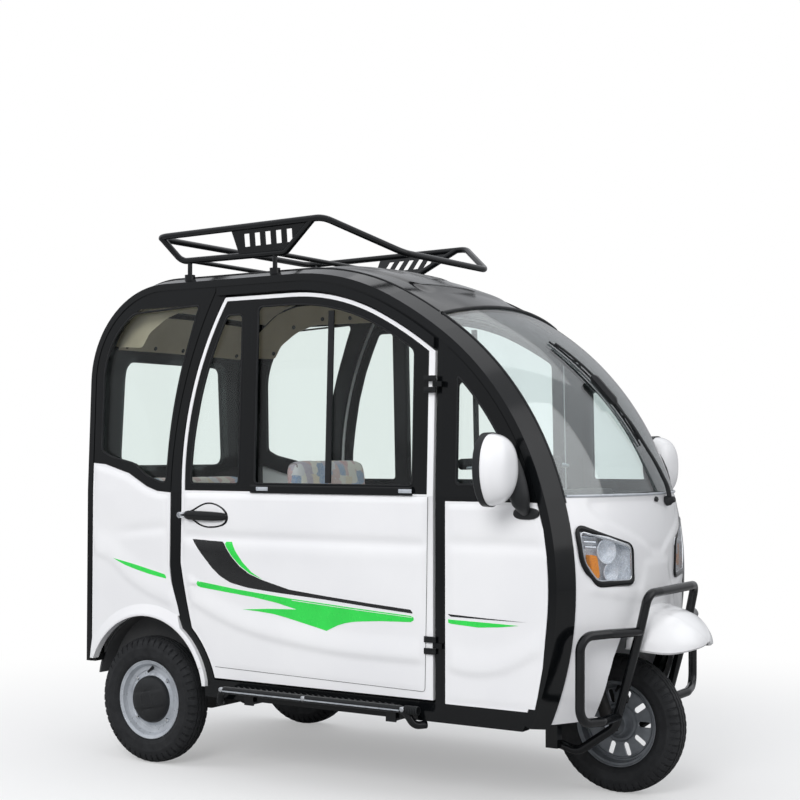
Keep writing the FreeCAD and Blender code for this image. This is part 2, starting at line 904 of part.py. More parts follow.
def door_handle(name):
    """A pull handle: an oval escutcheon with a raised paddle on a neck over it."""
    body = new_body(name, REAR_X, -cell.half_width, cell.belt_height - 77)
    table = (
        # part, first centre, last centre, radius, inner and outer distance from the side
        ("plate", 204, 302, 28, cell.soft_gap, 8),
        ("neck", 257, 289, 11, 6, 22),
        ("paddle", 251, 345, 15, 20, 34),
    )
    for part, first, last, radius, low, high in table:
        sketch = new_sketch(body, "%s_%s_outline" % (name, part), "XZ_Plane", low)
        draw_slot(sketch, first, last, 0, radius)
        feature(body, "Pad", "%s_%s" % (name, part), sketch, Length=length(high) - low)
    return body


# The roof, windscreen, cowl and tail are lofted through a few sections, each with two arcs.
def crown_wire(edge_out, edge_in, crown_out, crown_in):
    """A closed section from two half-width places and their crowned middles."""
    def flipped(place):
        return Vector(place.x, -place.y, place.z)

    outer = Part.Arc(edge_out, crown_out, flipped(edge_out)).toShape()
    inner = Part.Arc(flipped(edge_in), crown_in, edge_in).toShape()
    closing = [
        Part.LineSegment(flipped(edge_out), flipped(edge_in)).toShape(),
        Part.LineSegment(edge_in, edge_out).toShape(),
    ]
    return Part.Wire([outer, closing[0], inner, closing[1]])


def normal_section(base, angle, widths, crown, offsets):
    """A section in the plane of the outline's normal at a place on the outline."""
    turn = math.radians(angle)
    along = Vector(math.cos(turn), 0, math.sin(turn))
    place = Vector(base[0], 0, base[1])
    edges = []
    for width, offset in zip(widths, offsets):
        edge = place + along * offset
        edges.append(edge - ACROSS * (width - lean_shift(edge.z)))
    crowns = [place + along * (offset + crown) for offset in offsets]
    return crown_wire(edges[0], edges[1], crowns[0], crowns[1])


def crowned_section(body, name, place, angle, crown, rims):
    """A sketch in the plane of the outline's normal: two crowned arcs joined at their ends. Each
    rim is a half width and an offset from the outline."""
    x, z = place
    sketch = new_sketch(body, name, "XY_Plane")
    turn = FreeCAD.Rotation(ACROSS, -angle)
    sketch.AttachmentOffset = FreeCAD.Placement(Vector(x.value, 0, z.value), turn)
    sketch.setExpression("AttachmentOffset.Base.x", x.text)
    sketch.setExpression("AttachmentOffset.Base.z", z.text)
    crown = length(crown)
    ends = []
    for half, offset in rims:
        half, offset = length(half), length(offset)
        low = Vector(offset.value, -half.value, 0)
        high = Vector(offset.value, half.value, 0)
        index = sketch.addGeometry(Part.Arc(low, Vector(offset.value + crown.value, 0, 0), high), False)
        dimension(sketch, "Radius", index, (half * half + crown * crown) / (crown * 2))
        pin(sketch, index, 1, offset, -half)
        pin(sketch, index, 2, offset, half)
        ends.append((low, high))
    for end in (0, 1):
        index = sketch.addGeometry(Part.LineSegment(ends[0][end], ends[1][end]), False)
        sketch.addConstraint(Sketcher.Constraint("Coincident", index, 1, 0, end + 1))
        sketch.addConstraint(Sketcher.Constraint("Coincident", index, 2, 1, end + 1))
    return sketch


def shell_rims(place, angle, play, offsets):
    """Half widths that follow the lean of the sides, with their offsets."""
    rims = []
    for offset in offsets:
        offset = length(offset)
        edge = place[1] + sine(length(angle)) * offset
        lean = larger(0, edge - cell.belt_height) * tangent(cell.lean_angle)
        rims.append((cell.half_width - cell.pillar_inset - play - lean, offset))
    return rims


def lofted_body(name, stations, play, offsets):
    """A thin shell lofted through sections of (place, normal's angle, crown)."""
    body = new_body(name)
    sketches = []
    for i, (place, angle, crown) in enumerate(stations):
        rims = shell_rims(place, angle, play, offsets)
        sketches.append(crowned_section(body, "%s_section_%d" % (name, i), place, angle, crown, rims))
    feature(body, "AdditiveLoft", name + "_loft", sketches[0], Sections=sketches[1:], Ruled=True)
    return body


def inner_widths(play):
    """Half widths of a shell's outer and inner edges that just fit between the hoops."""
    inset = size.half_width - size.pillar_inset
    return (inset - play, inset - play)


def roof_stations():
    """Places along the roof with the normal's angle and the crown there."""
    stations = [(on_arc("tail", angle), angle, 14 + (130 - angle) * 0.15) for angle in range(130, 80, -10)]
    stations.append((on_arc("roof", 90), 90, 24))
    for angle, crown in ((83, 27), (76, 32), (69, 39), (63, 44), (57.3, 50)):
        stations.append((on_front(angle), angle, crown))
    return stations


def raised_body(name, stations, half, height):
    """A strip of the roof of a half width, raised over its skin and rooted in it."""
    body = new_body(name)
    sketches = []
    for i, (place, angle, crown) in enumerate(stations):
        wide = shell_rims(place, angle, cell.shell_gap, (-5,))[0][0]
        crown = length(crown)
        radius = (wide * wide + crown * crown) / (crown * 2)
        rise = root(radius * radius - half * half) - radius + crown
        rims = [(half, rise - 5 + height), (half, rise - 5 - cell.shell_depth / 2)]
        sketches.append(crowned_section(body, "%s_section_%d" % (name, i), place, angle, crown - rise, rims))
    feature(body, "AdditiveLoft", name + "_loft", sketches[0], Sections=sketches[1:], Ruled=True)
    return body


def roof_panel(name):
    """The black roof skin with its raised middle and the ribs on it."""
    stations = roof_stations()
    skin = lofted_body(name + "_skin", stations, cell.shell_gap, (-5, -5 - cell.shell_depth))
    middle = raised_body(name + "_middle", stations[2:-2], cell.roof_pad_half_width, cell.roof_pad_height)
    rib_height = cell.roof_pad_height + cell.roof_rib_height
    crest = raised_body(name + "_crest", stations[3:-2], cell.roof_pad_half_width - 30, rib_height)
    ribs = []
    for i in range(6):
        y = cell.roof_rib_spacing * (i - 2.5)
        half = cell.roof_rib_width / 2
        stop = FRONT_X - 420 - abs(i - 2.5) * 42
        ribs.append(bound_box("%s_rib_%d" % (name, i), REAR_X - 60, stop, y - half, y + half,
                              cell.roof_height - 200, cell.roof_height + 100))
    lines = doc.addObject("Part::Common", name + "_lines")
    lines.Base = crest
    lines.Tool = joined(name + "_ribs", ribs)
    return joined(name, [skin, middle, lines])


def headliner(name):
    depth = -5 - cell.shell_depth - cell.shell_gap
    return lofted_body(name, roof_stations(), cell.shell_gap, (depth, depth - 5))


def windscreen(name):
    """A deeply crowned screen, trimmed level along its foot."""
    low, high = 12, 56.8
    stations = []
    for angle in (high, BROW_END, 47, 40, 33, 26, 19, low):
        crown = 104 - 53 * ((angle - low) / (high - low)) ** 1.6
        stations.append((on_front(angle), angle, crown))
    glass = lofted_body(name + "_pane", stations, cell.shell_gap, (-4, -4 - cell.glass_depth))
    wide = cell.half_width
    below = bound_box(name + "_foot", 0, FRONT_X * 2, -wide, wide, 0, cell.belt_height + 6)
    return carved(name, glass, below)


def level(share):
    """A height part of the way from the nose arc's centre up to the belt."""
    low = ARCS["nose"][0][1]
    return low + (size.belt_height - low) * share


def cowl_shell(offset_out, offset_in, trim=0.0):
    """A shell that follows the white nose between two offsets measured along X."""
    table = (
        (size.belt_height + 2 - trim, 109),
        (level(0.513), 92),
        (ARCS["nose"][0][1], 80),
        (500, 100),
        (380, 115),
        (size.sill_bottom + 14, 108),
    )
    inset = size.half_width - size.pillar_inset
    wires = []
    for z, crown in table:
        x = outline_at(z)
        edge_out = Vector(x - 4 + offset_out, size.shell_gap - inset, z)
        edge_in = Vector(x - 4 + offset_in, size.shell_gap - inset, z)
        crown_out = Vector(x + crown + offset_out, 0, z)
        crown_in = Vector(x + crown + offset_in, 0, z)
        wires.append(crown_wire(edge_out, edge_in, crown_out, crown_in))
    return Part.makeLoft(wires, True, True)


def front_prism(corners, low, high):
    """A prism along X from corners given as (y, z)."""
    points = [Vector(front(low), y, z) for y, z in corners]
    return Part.Face(Part.makePolygon(points + points[:1])).extrude(Vector(high - low, 0, 0))


# Corners of the right lamp as (y, depth under the belt line).
LAMP_CORNERS = ((-392, 84), (-165, 144), (-158, 262), (-330, 258), (-384, 195))


def lamp_prism(shrink, low, high):
    points = [Vector(front(low), y, size.belt_height - depth) for y, depth in LAMP_CORNERS]
    face = Part.Face(Part.makePolygon(points + points[:1]))
    face = grown(grown(face, -shrink - 22), 22)
    return face.extrude(Vector(high - low, 0, 0))


def cowl_body(name, offsets):
    """The white nose as a loft of level sections."""
    low = BOUND_ARCS["nose"][1]
    table = (
        (cell.belt_height + 2, "nose", 109),
        (low + (cell.belt_height - low) * 0.513, "nose", 92),
        (low, "nose", 80),
        (length(500), "apron", 100),
        (length(380), "apron", 115),
        (cell.sill_bottom + 14, "apron", 108),
    )
    body = new_body(name)
    half = cell.half_width - cell.pillar_inset - cell.shell_gap
    sketches = []
    for i, (z, arc, crown) in enumerate(table):
        middle, height, radius = BOUND_ARCS[arc]
        x = middle + root(radius * radius - (z - height) * (z - height))
        rims = [(half, offset - 4) for offset in offsets]
        sketches.append(crowned_section(body, "%s_section_%d" % (name, i), (x, z), 0, crown + 4, rims))
    feature(body, "AdditiveLoft", name + "_loft", sketches[0], Sections=sketches[1:], Ruled=True)
    return body


def front_cowl(name):
    """The nose with its lamp openings and the arch over the front wheel."""
    arch = front_prism(((-225, 518), (-262, 395), (-262, 0), (262, 0), (262, 395), (225, 518)), -100, 300)
    lamp = lamp_prism(-size.panel_gap, -60, 200)
    shell = cowl_body(name + "_shell", (length(0), -cell.shell_depth))
    openings = Part.makeCompound([arch, lamp, mirrored(lamp)])
    return carved(name, shell, solid_object(name + "_openings", openings))


def headlamp_housing():
    rim = lamp_prism(0, -60, 200).common(cowl_shell(2, -size.shell_depth - 40))
    bowl = lamp_prism(9, -60, 200).common(cowl_shell(30, -size.shell_depth - 30))
    return rim.cut(bowl)


def headlamp_lens():
    return lamp_prism(9 + size.panel_gap, -60, 200).common(cowl_shell(4, -2))


def dashboard():
    """The shelf under the windscreen, from the steering column forward to the nose."""
    back = front(-168)
    inset = size.half_width - size.pillar_inset
    wires = []
    for z in (size.belt_height - 76, size.belt_height - 40, size.belt_height - 3):
        x = outline_at(z) - size.shell_depth - 8
        ends = [Vector(x - 30, side * (inset - 14), z) for side in (-1, 1)]
        backs = [Vector(back, side * (inset - 14), z) for side in (-1, 1)]
        bow = Part.Arc(ends[0], Vector(x + 88, 0, z), ends[1]).toShape()
        sides = [
            Part.LineSegment(ends[1], backs[1]).toShape(),
            Part.LineSegment(backs[1], backs[0]).toShape(),
            Part.LineSegment(backs[0], ends[0]).toShape(),
        ]
        wires.append(Part.Wire([bow] + sides))
    side = size.half_width - size.frame_depth - size.shell_gap
    wide = block(back, front(-50), -side, side, size.belt_height - 60, size.belt_height - 3)
    body = block(back, front(-80), -(inset - 14), inset - 14, size.belt_height - 188, size.belt_height - 50)
    return fused([Part.makeLoft(wires, True, False), wide, body])


def tail_shell(stations, offsets, widths):
    wires = [normal_section(base, angle, widths, crown, offsets) for base, angle, crown in stations]
    return Part.makeLoft(wires, True, True)


TAIL_CROWN = 10


def tail_body(name, play, offsets):
    """The curved upper tail between the ends of the hoops."""
    back = REAR_X - cell.tail_reach
    stations = [((back, cell.belt_height + 2), 180, TAIL_CROWN), ((back, BOUND_ARCS["tail"][1]), 180, TAIL_CROWN)]
    for angle, crown in ((168, 11), (156, 12), (144, 13), (131, 14)):
        stations.append((on_arc("tail", angle), angle, crown))
    return lofted_body(name, stations, play, offsets)


def tail_window_prism(grow):
    face = rounded(face_from([
        (-300, size.belt_height + 80),
        (300, size.belt_height + 80),
        (280, size.roof_height - 271),
        (-280, size.roof_height - 271),
    ]), 50)
    face = grown(face, grow)
    face.rotate(Vector(0, 0, 0), UP, 90)
    face.translate(Vector(TAIL_X - 100, 0, 0))
    return face.extrude(Vector(200, 0, 0))


def rear_panel(name):
    back = REAR_X - cell.tail_reach
    stations = [((back, cell.sill_bottom + 94), 180, TAIL_CROWN), ((back, cell.belt_height), 180, TAIL_CROWN)]
    return lofted_body(name, stations, cell.shell_gap, (length(-3), -3 - cell.shell_depth))


def rear_window_frame(name):
    frame = tail_body(name + "_shell", cell.shell_gap, (length(-3), -3 - cell.shell_depth))
    return carved(name, frame, solid_object(name + "_hole", tail_window_prism(0)))


def rear_glass(name):
    depth = -3 - cell.shell_depth - cell.panel_gap
    pane = doc.addObject("Part::Common", name)
    pane.Base = tail_body(name + "_pane", 8, (depth, depth - cell.glass_depth))
    pane.Tool = solid_object(name + "_outline", tail_window_prism(15))
    return pane


def tail_lamp():
    back = TAIL_X - TAIL_CROWN
    lamp = block(back - 3, back + 12, -372, -300, 600, 780)
    lamp = lamp.cut(tail_shell((
        ((TAIL_X, 500), 180, TAIL_CROWN),
        ((TAIL_X, 900), 180, TAIL_CROWN),
    ), (-3 + size.soft_gap, -60), inner_widths(size.shell_gap)))
    return lamp


# Running gear.
def turned_body(name, profile, x, y):
    """A wheel piece as a body at its hub, turned from a profile of (distance along Y, radius)."""
    body = new_body(name, x, y, cell.tyre_radius)
    sketch = new_sketch(body, name + "_profile", "XY_Plane")
    draw_outline(sketch, [(radius, along) for along, radius in profile])
    feature(body, "Revolution", name + "_turned", sketch, ReferenceAxis=(sketch, ["V_Axis"]), Angle=360.0)
    return body


def tyre(name, x, y):
    half = cell.tyre_width / 2
    low = cell.rim_radius + cell.soft_gap
    crown = cell.tyre_radius
    right = [(half - 14, low), (half, crown - 44), (half - 8, crown - 13), (cell.tyre_crown, crown)]
    left = [(-along, radius) for along, radius in reversed(right)]
    return turned_body(name, right + left, x, y)


def rear_wheel(name, side):
    """A pressed steel rim with a dished disc, turned outward on its side."""
    half = cell.rim_width / 2
    rim = cell.rim_radius
    bore = cell.axle_radius + cell.hub_spacer + cell.bore_gap
    profile = (
        (-half, rim),
        (half, rim),
        (half - 4, rim - 12),
        (14, rim - 18),
        (10, rim - 42),
        (24, rim - 66),
        (30, bore + 10),
        (30, bore),
        (-20, bore),
        (-20, bore + 18),
        (8, bore + 22),
        (2, rim - 62),
        (-6, rim - 24),
        (4 - half, rim - 12),
    )
    turned = [(length(along) * side, radius) for along, radius in profile]
    return turned_body(name, turned, REAR_X, cell.rear_track * side / 2)


def front_wheel(name):
    """A steel rim with a flat disc pierced by a ring of round-ended slots."""
    half = cell.rim_width / 2
    rim = cell.rim_radius
    bore = cell.axle_radius + cell.bore_gap
    profile = (
        (-half, rim),
        (half, rim),
        (half - 4, rim - 12),
        (4, rim - 16),
        (4, 46),
        (38, 36),
        (38, bore),
        (-38, bore),
        (-38, 36),
        (-4, 46),
        (-4, rim - 16),
        (4 - half, rim - 12),
    )
    body = turned_body(name, profile, FRONT_X, 0)
    sketch = new_sketch(body, name + "_slot", "XZ_Plane")
    draw_slot(sketch, cell.slot_start, cell.slot_end, 0, cell.slot_radius)
    pocket = feature(body, "Pocket", name + "_slot_cut", sketch, Type="ThroughAll", Midplane=True)
    ring = body.newObject("PartDesign::PolarPattern", name + "_slots")
    ring.Originals = [pocket]
    ring.Axis = (origin_plane(body, "Y_Axis"), [""])
    ring.Angle = 360.0
    bind(ring, Occurrences=cell.slot_count)
    body.Tip = ring
    return body


RAKE = math.radians(size.rake_angle)
STEER_UP = Vector(-math.sin(RAKE), 0, math.cos(RAKE))
STEER_AHEAD = Vector(math.cos(RAKE), 0, math.sin(RAKE))
AXLE = Vector(front(0), 0, size.tyre_radius)


def steer_place(height, ahead=0.0, side=0.0):
    """A place by its height along the steering axis above the axle."""
    base = AXLE - STEER_AHEAD * size.fork_offset
    return base + STEER_UP * height + STEER_AHEAD * ahead + Vector(0, side, 0)


def steer_bound(height, ahead, side):
    """Bound coordinates of a place by its height along the steering axis above the axle."""
    rake = cell.rake_angle
    ahead = length(ahead) - cell.fork_offset
    x = FRONT_X - sine(rake) * height + cosine(rake) * ahead
    z = cell.tyre_radius + cosine(rake) * height + sine(rake) * ahead
    return x, side, z


def fork(name):
    """Two legs, a crown over the tyre, the axle pin and the steering stem."""
    side = cell.tyre_width / 2 + cell.fork_leg_gap + cell.fork_leg_radius
    rake = -cell.rake_angle
    pieces = []
    for sign, word in ((-1, "right"), (1, "left")):
        for part, low, high, radius in (("slider", -22, 150, cell.fork_leg_radius),
                                        ("tube", 150, 318, cell.fork_leg_radius - 4)):
            place = steer_bound(low, cell.fork_offset, side * sign)
            pieces.append(bound_rod("%s_%s_%s" % (name, part, word), radius, high - low, *place, ACROSS, rake))
    crown = doc.addObject("Part::Box", name + "_crown")
    bind(crown, Length=70, Width=side * 2 + 44, Height=26)
    pieces.append(put(crown, *steer_bound(296, -30, -side - 22), ACROSS, rake))
    pieces.append(rod_across(name + "_axle", cell.axle_radius, FRONT_X, -side - 16, side + 16, cell.tyre_radius))
    pieces.append(bound_rod(name + "_stem", cell.stem_radius, 520, *steer_bound(300, 0, 0), ACROSS, rake))
    return joined(name, pieces)


def handlebar():
    clamp = steer_place(820)
    low = clamp + Vector(0, 0, 8)
    points = [
        (low.x - 112, -300, low.z + 40),
        (low.x - 8, -150, low.z + 46),
        (low.x, -60, low.z),
        (low.x, 60, low.z),
        (low.x - 8, 150, low.z + 46),
        (low.x - 112, 300, low.z + 40),
    ]
    bar = tube(points, 24, 40)
    block_low = rod(clamp - STEER_UP * 24, clamp + STEER_UP * 10, size.stem_radius + 9)
    bore = rod(clamp - STEER_UP * 40, clamp + STEER_UP * size.bore_gap, size.stem_radius + size.bore_gap)
    return bar.fuse(block_low).cut(bore).removeSplitter()


def chassis_frame(name):
    """Two box rails that rise over the rear axle, cross members, and the steering neck."""
    side = cell.rail_side
    half = side / 2
    top = cell.floor_height - 4
    low = top - side
    rise = cell.deck_height - cell.floor_depth - 14
    rails = new_body(name + "_rails")
    sketch = new_sketch(rails, name + "_rail", "XZ_Plane", cell.rail_spread - half)
    draw_outline(sketch, [
        (REAR_X - 240, rise - side),
        (REAR_X + 180, rise - side),
        (REAR_X + 262, low),
        (FRONT_X - 120, low),
        (FRONT_X - 120, top),
        (REAR_X + 285, top),
        (REAR_X + 203, rise),
        (REAR_X - 240, rise),
    ])
    pad = feature(rails, "Pad", name + "_rail_pad", sketch, Length=side)
    doc.recompute()
    other = rails.newObject("PartDesign::Mirrored", name + "_other_rail")
    other.Originals = [pad]
    other.MirrorPlane = (origin_plane(rails, "XZ_Plane"), [""])
    rails.Tip = other
    spread = cell.rail_spread
    pieces = [rails]
    places = ((REAR_X - 220, rise), (REAR_X + 170, rise), (REAR_X + 420, top), (REAR_X + 760, top),
              (FRONT_X - 262, top))
    for i, (x, z) in enumerate(places):
        member = bound_box("%s_member_%d" % (name, i), x - half, x + half, -spread, spread, z - side, z)
        pieces.append(member)
    rake = -cell.rake_angle
    pieces.append(bound_rod(name + "_neck", cell.stem_radius + 13, 135, *steer_bound(345, 0, 0), ACROSS, rake))
    for sign in (-1, 1):
        middle = steer_place(410, 0, sign * 20)
        strut = tube([
            (front(-205), sign * size.rail_spread, low.value + half.value),
            (front(-205), sign * size.rail_spread, middle.z - 90),
            (middle.x, middle.y, middle.z),
        ], 34, 60)
        pieces.append(solid_object(name + "_strut", strut))
    bore = bound_rod(name + "_bore", cell.stem_radius + cell.bore_gap, 300, *steer_bound(300, 0, 0), ACROSS, rake)
    return carved(name, joined(name + "_whole", pieces), bore)


def floor_pan(name):
    """The cabin floor, the step up to the rear deck, the firewall and the wheel wells."""
    wide = cell.half_width - cell.frame_depth - cell.panel_gap
    deep = cell.floor_depth
    low = cell.floor_height
    deck = cell.deck_height
    fire = FRONT_X - 252
    pan = new_body(name + "_sheet")
    sketch = new_sketch(pan, name + "_profile", "XZ_Plane")
    draw_outline(sketch, [
        (REAR_X + 300, low),
        (fire, low),
        (fire, cell.firewall_height),
        (fire - deep, cell.firewall_height),
        (fire - deep, low + deep),
        (REAR_X + 300 + deep, low + deep),
        (REAR_X + 300 + deep, deck),
        (REAR_X - 256, deck),
        (REAR_X - 256, deck - deep),
        (REAR_X + 300, deck - deep),
    ])
    feature(pan, "Pad", name + "_pad", sketch, Length=wide * 2, Midplane=True)
    radius = cell.arch_radius + 4
    inner = cell.rear_track / 2 - cell.tyre_width / 2 - 26
    wells = [pan]
    hollows = []
    for sign, word in ((-1, "right"), (1, "left")):
        near, far = (inner * sign, wide * sign) if sign > 0 else (wide * sign, inner * sign)
        wells.append(rod_across(name + "_well_" + word, radius + deep, REAR_X, near, far, cell.arch_height))
        near, far = inner + deep, wide + 50
        if sign < 0:
            near, far = -far, -near
        hollows.append(rod_across(name + "_hollow_" + word, radius, REAR_X, near, far, cell.arch_height))
    hollows.append(bound_box(name + "_under", REAR_X - 400, REAR_X + 299, -cell.half_width, cell.half_width, -100, low))
    return carved(name, joined(name + "_whole", wells), joined(name + "_hollows", hollows))


def rear_axle(name):
    """The live axle: a tube with its motor in the middle, flanges and stub ends."""
    z = cell.tyre_radius
    end = cell.rear_track / 2 - cell.rim_width / 2 - 4
    pieces = [
        rod_across(name + "_tube", cell.axle_tube_radius, REAR_X, -end, end, z),
        rod_across(name + "_shaft", cell.axle_radius + cell.hub_spacer, REAR_X, -end - 30, end + 30, z),
        rod_across(name + "_motor", cell.motor_radius, REAR_X, -150, 70, z),
        rod_across(name + "_gearcase", cell.motor_radius + 18, REAR_X, 70, 110, z),
        rod_across(name + "_drum_left", cell.drum_radius, REAR_X, end - 34, end - 4, z),
        rod_across(name + "_drum_right", cell.drum_radius, REAR_X, 4 - end, 34 - end, z),
    ]
    return joined(name, pieces)


def leaf_springs(name):
    """Bowed leaves clamped over the axle, with hangers up to the rails."""
    reach = cell.spring_reach
    eye = cell.spring_eye_height
    low = cell.tyre_radius + cell.axle_tube_radius + cell.soft_gap
    high = cell.deck_height - cell.floor_depth - 14 - cell.rail_side - cell.panel_gap
    body = new_body(name + "_leaf", REAR_X, 0, 0)
    sketch = new_sketch(body, name + "_profile", "XZ_Plane", cell.rail_spread - cell.spring_width / 2)
    lines = ((low, eye, 1), (low + cell.spring_depth + 4, eye + cell.spring_depth, 3))
    for middle, end, foot in lines:
        sag = end - middle
        radius = (reach * reach + sag * sag) / (sag * 2)
        bow = Part.Arc(Vector(-reach.value, end.value, 0), Vector(0, middle.value, 0), Vector(reach.value, end.value, 0))
        index = sketch.addGeometry(bow, False)
        dimension(sketch, "Radius", index, radius)
        pin(sketch, index, 1, -reach, end)
        pin(sketch, index, 2, reach, end)
    for sign, end in ((-1, 1), (1, 2)):
        x = sign * reach.value
        top = eye.value + size.spring_depth
        index = sketch.addGeometry(Part.LineSegment(Vector(x, eye.value, 0), Vector(x, top, 0)), False)
        sketch.addConstraint(Sketcher.Constraint("Coincident", index, 1, 0, end))
        sketch.addConstraint(Sketcher.Constraint("Coincident", index, 2, 1, end))
    feature(body, "Pad", name + "_pad", sketch, Length=cell.spring_width)
    spread = cell.rail_spread
    pieces = [body]
    for word, x in (("rear", REAR_X - reach + 12), ("front", REAR_X + reach - 35)):
        pieces.append(bound_box("%s_hanger_%s" % (name, word), x - 12, x + 12, -spread - 17, 17 - spread, eye - 6, high))
    right = joined(name + "_right", pieces)
    return gathered(name, [right, reflected(name + "_left", right)])


def front_guard():
    """The black tube guard over the front wheel, with a loop on each side."""
    pieces = [tube([
        (front(-122), -190, 168),
        (front(-52), -190, 150),
        (front(70), -190, 236),
        (front(152), -190, 526),
        (front(178), -186, 640),
        (front(186), -120, 642),
        (front(186), 120, 642),
        (front(178), 186, 640),
        (front(152), 190, 526),
        (front(70), 190, 236),
        (front(-52), 190, 150),
        (front(-122), 190, 168),
    ], size.guard_tube, 50)]
    for sign in (-1, 1):
        pieces.append(tube([
            (front(152), sign * 190, 526),
            (front(118), sign * 330, 532),
            (front(72), sign * 432, 530),
            (front(70), sign * 432, 282),
            (front(92), sign * 330, 274),
            (front(79), sign * 190, 268),
        ], size.guard_tube, 46))
        inner, outer = sorted((sign * 190, sign * (size.rail_spread - 20 - 1)))
        pieces.append(block(front(-150), front(-110), inner, outer + 2, 156, 240))
        inner, outer = sorted((sign * (size.rail_spread - 20), sign * (size.rail_spread + 20)))
        pieces.append(block(front(-150), front(-122), inner, outer, 226, 239.5))
    return fused(pieces)


def beak_section(body, name, x, half, high, low):
    """A sketch across the beak: a crowned arc over a level line."""
    sketch = new_sketch(body, name, "YZ_Plane", x)
    rise = high - low
    ends = (Vector(-half, low, 0), Vector(half, low, 0))
    sketch.addGeometry(Part.Arc(ends[1], Vector(0, high, 0), ends[0]), False)
    sketch.addGeometry(Part.LineSegment(*ends), False)
    dimension(sketch, "Radius", 0, length((half * half + rise * rise) / (2 * rise)))
    pin(sketch, 0, 1, half, low)
    pin(sketch, 0, 2, -half, low)
    sketch.addConstraint(Sketcher.Constraint("Coincident", 1, 1, 0, 2))
    sketch.addConstraint(Sketcher.Constraint("Coincident", 1, 2, 0, 1))
    return sketch


def front_mudguard(name):
    """The white beak over the front wheel, hollow below, trimmed to the nose."""
    wall = 7
    table = ((98, 168, 604, 474), (160, 158, 592, 466), (226, 138, 570, 462), (278, 84, 520, 472), (294, 30, 497, 478))
    body = new_body(name + "_beak")
    outer = []
    inner = []
    for i, (x, half, high, low) in enumerate(table):
        outer.append(beak_section(body, "%s_outer_%d" % (name, i), FRONT_X + x, half, high, low))
    feature(body, "AdditiveLoft", name + "_loft", outer[0], Sections=outer[1:], Ruled=True)
    for i, (x, half, high, low) in enumerate(table):
        place = FRONT_X + x - 8
        inner.append(beak_section(body, "%s_inner_%d" % (name, i), place, half - wall, high - wall, low - 4))
    feature(body, "SubtractiveLoft", name + "_hollow", inner[0], Sections=inner[1:], Ruled=True)
    nose = solid_object(name + "_nose", cowl_shell(size.panel_gap, -300))
    return carved(name, body, nose)


def roof_rack():
    """A tube basket: a top loop that drops and narrows to the front, lower rails, plates."""
    wide = size.rack_half_width
    top = size.roof_height + size.rack_lift
    low_side = size.half_width - size.pillar_inset - 3
    low = top - 94
    right_top = [
        (rear(360), -wide, top - 6),
        (rear(720), -wide, top),
        (rear(909), -wide * 0.59, top - 108),
    ]
    left_top = [(x, -y, z) for x, y, z in reversed(right_top)]
    loop = [
        (rear(0), 0, top - 12),
        (rear(0), -wide, top - 12),
    ] + right_top + left_top + [
        (rear(0), wide, top - 12),
        (rear(0), 0, top - 12),
    ]
    pieces = [tube(loop, size.rack_tube, 60)]
    hoops = both_sides(leaned(hoop()))
    for sign in (-1, 1):
        pieces.append(tube([
            (rear(30), sign * wide, top - 12),
            (rear(82), sign * low_side, low),
            (rear(530), sign * low_side, low),
            (rear(680), sign * wide, top),
        ], size.rack_tube, 40))
        plate = [
            Vector(rear(340), sign * wide, top - 8),
            Vector(rear(680), sign * wide, top - 2),
            Vector(rear(560), sign * (low_side + 6), low + 6),
            Vector(rear(340), sign * (low_side + 6), low + 6),
        ]
        pieces.append(slotted_plate(plate))
        for x in (118, 487):
            leg = rod((rear(x), sign * low_side, size.roof_height - 20), (rear(x), sign * low_side, low), 8)
            pad = rod((rear(x), sign * low_side, size.roof_height - 20),
                      (rear(x), sign * low_side, size.roof_height + 5), 18)
            foot = leg.fuse(pad).cut(hoops)
            pieces.append(max(foot.Solids, key=lambda solid: solid.BoundBox.ZMax))
    for x in (118, 487):
        pieces.append(rod((rear(x), -low_side, low), (rear(x), low_side, low), 8))
    return fused(pieces)


def slotted_plate(corners):
    """A flat four-cornered plate pierced by a row of leaned slots."""
    depth = size.rack_plate_depth
    normal = (corners[1] - corners[0]).cross(corners[-1] - corners[0]).normalize()
    flat = [corner - normal * (corner - corners[0]).dot(normal) for corner in corners]
    face = Part.Face(Part.makePolygon(flat + flat[:1]))
    down = flat[3] - flat[0]
    for count in range(5):
        share = 0.14 + 0.13 * count
        top = flat[0] + (flat[1] - flat[0]) * share + down * 0.25
        foot = flat[3] + (flat[1] - flat[0]) * (share - 0.04) - down * 0.25
        ahead = (flat[1] - flat[0]).normalize() * size.rack_slot_width
        face = face.cut(Part.Face(Part.makePolygon([top, top + ahead, foot + ahead, foot, top])))
    face.translate(normal * (-depth / 2))
    return face.extrude(normal * depth)


def side_step():
    """A tube step along the sill with a tread and two brackets to the chassis."""
    y = -(size.half_width + 40)
    z = size.sill_bottom + 36
    low_end = size.sill_bottom - size.step_tube / 2 - size.panel_gap
    rail = tube([
        (rear(318), -size.half_width + 14, low_end),
        (rear(338), 3 - size.half_width - size.step_tube, low_end),
        (rear(362), y, z),
        (front(-470), y, z),
        (front(-446), 3 - size.half_width - size.step_tube, low_end),
        (front(-426), -size.half_width + 14, low_end),
    ], size.step_tube, 30)
    tread = block(rear(400), front(-500), y, -size.half_width - 4, z + 4, z + 8)
    pieces = [rail, tread]
    for x in (rear(450), front(-540)):
        pieces.append(block(x - 18, x + 18, y, -size.half_width - 2, z - 12, z + 6))
        pieces.append(block(x - 18, x + 18, -size.half_width - 8, -size.half_width - 2, size.sill_bottom - 12, z + 6))
        pieces.append(block(x - 18, x + 18, -size.half_width - 8, -size.rail_spread - 20.5,
                            size.sill_bottom - 8, size.sill_bottom - 0.5))
        pieces.append(block(x - 18, x + 18, -size.rail_spread - 24.5, -size.rail_spread - 20.5,
                            size.sill_bottom - 8, size.floor_height - 8))
    return fused(pieces)


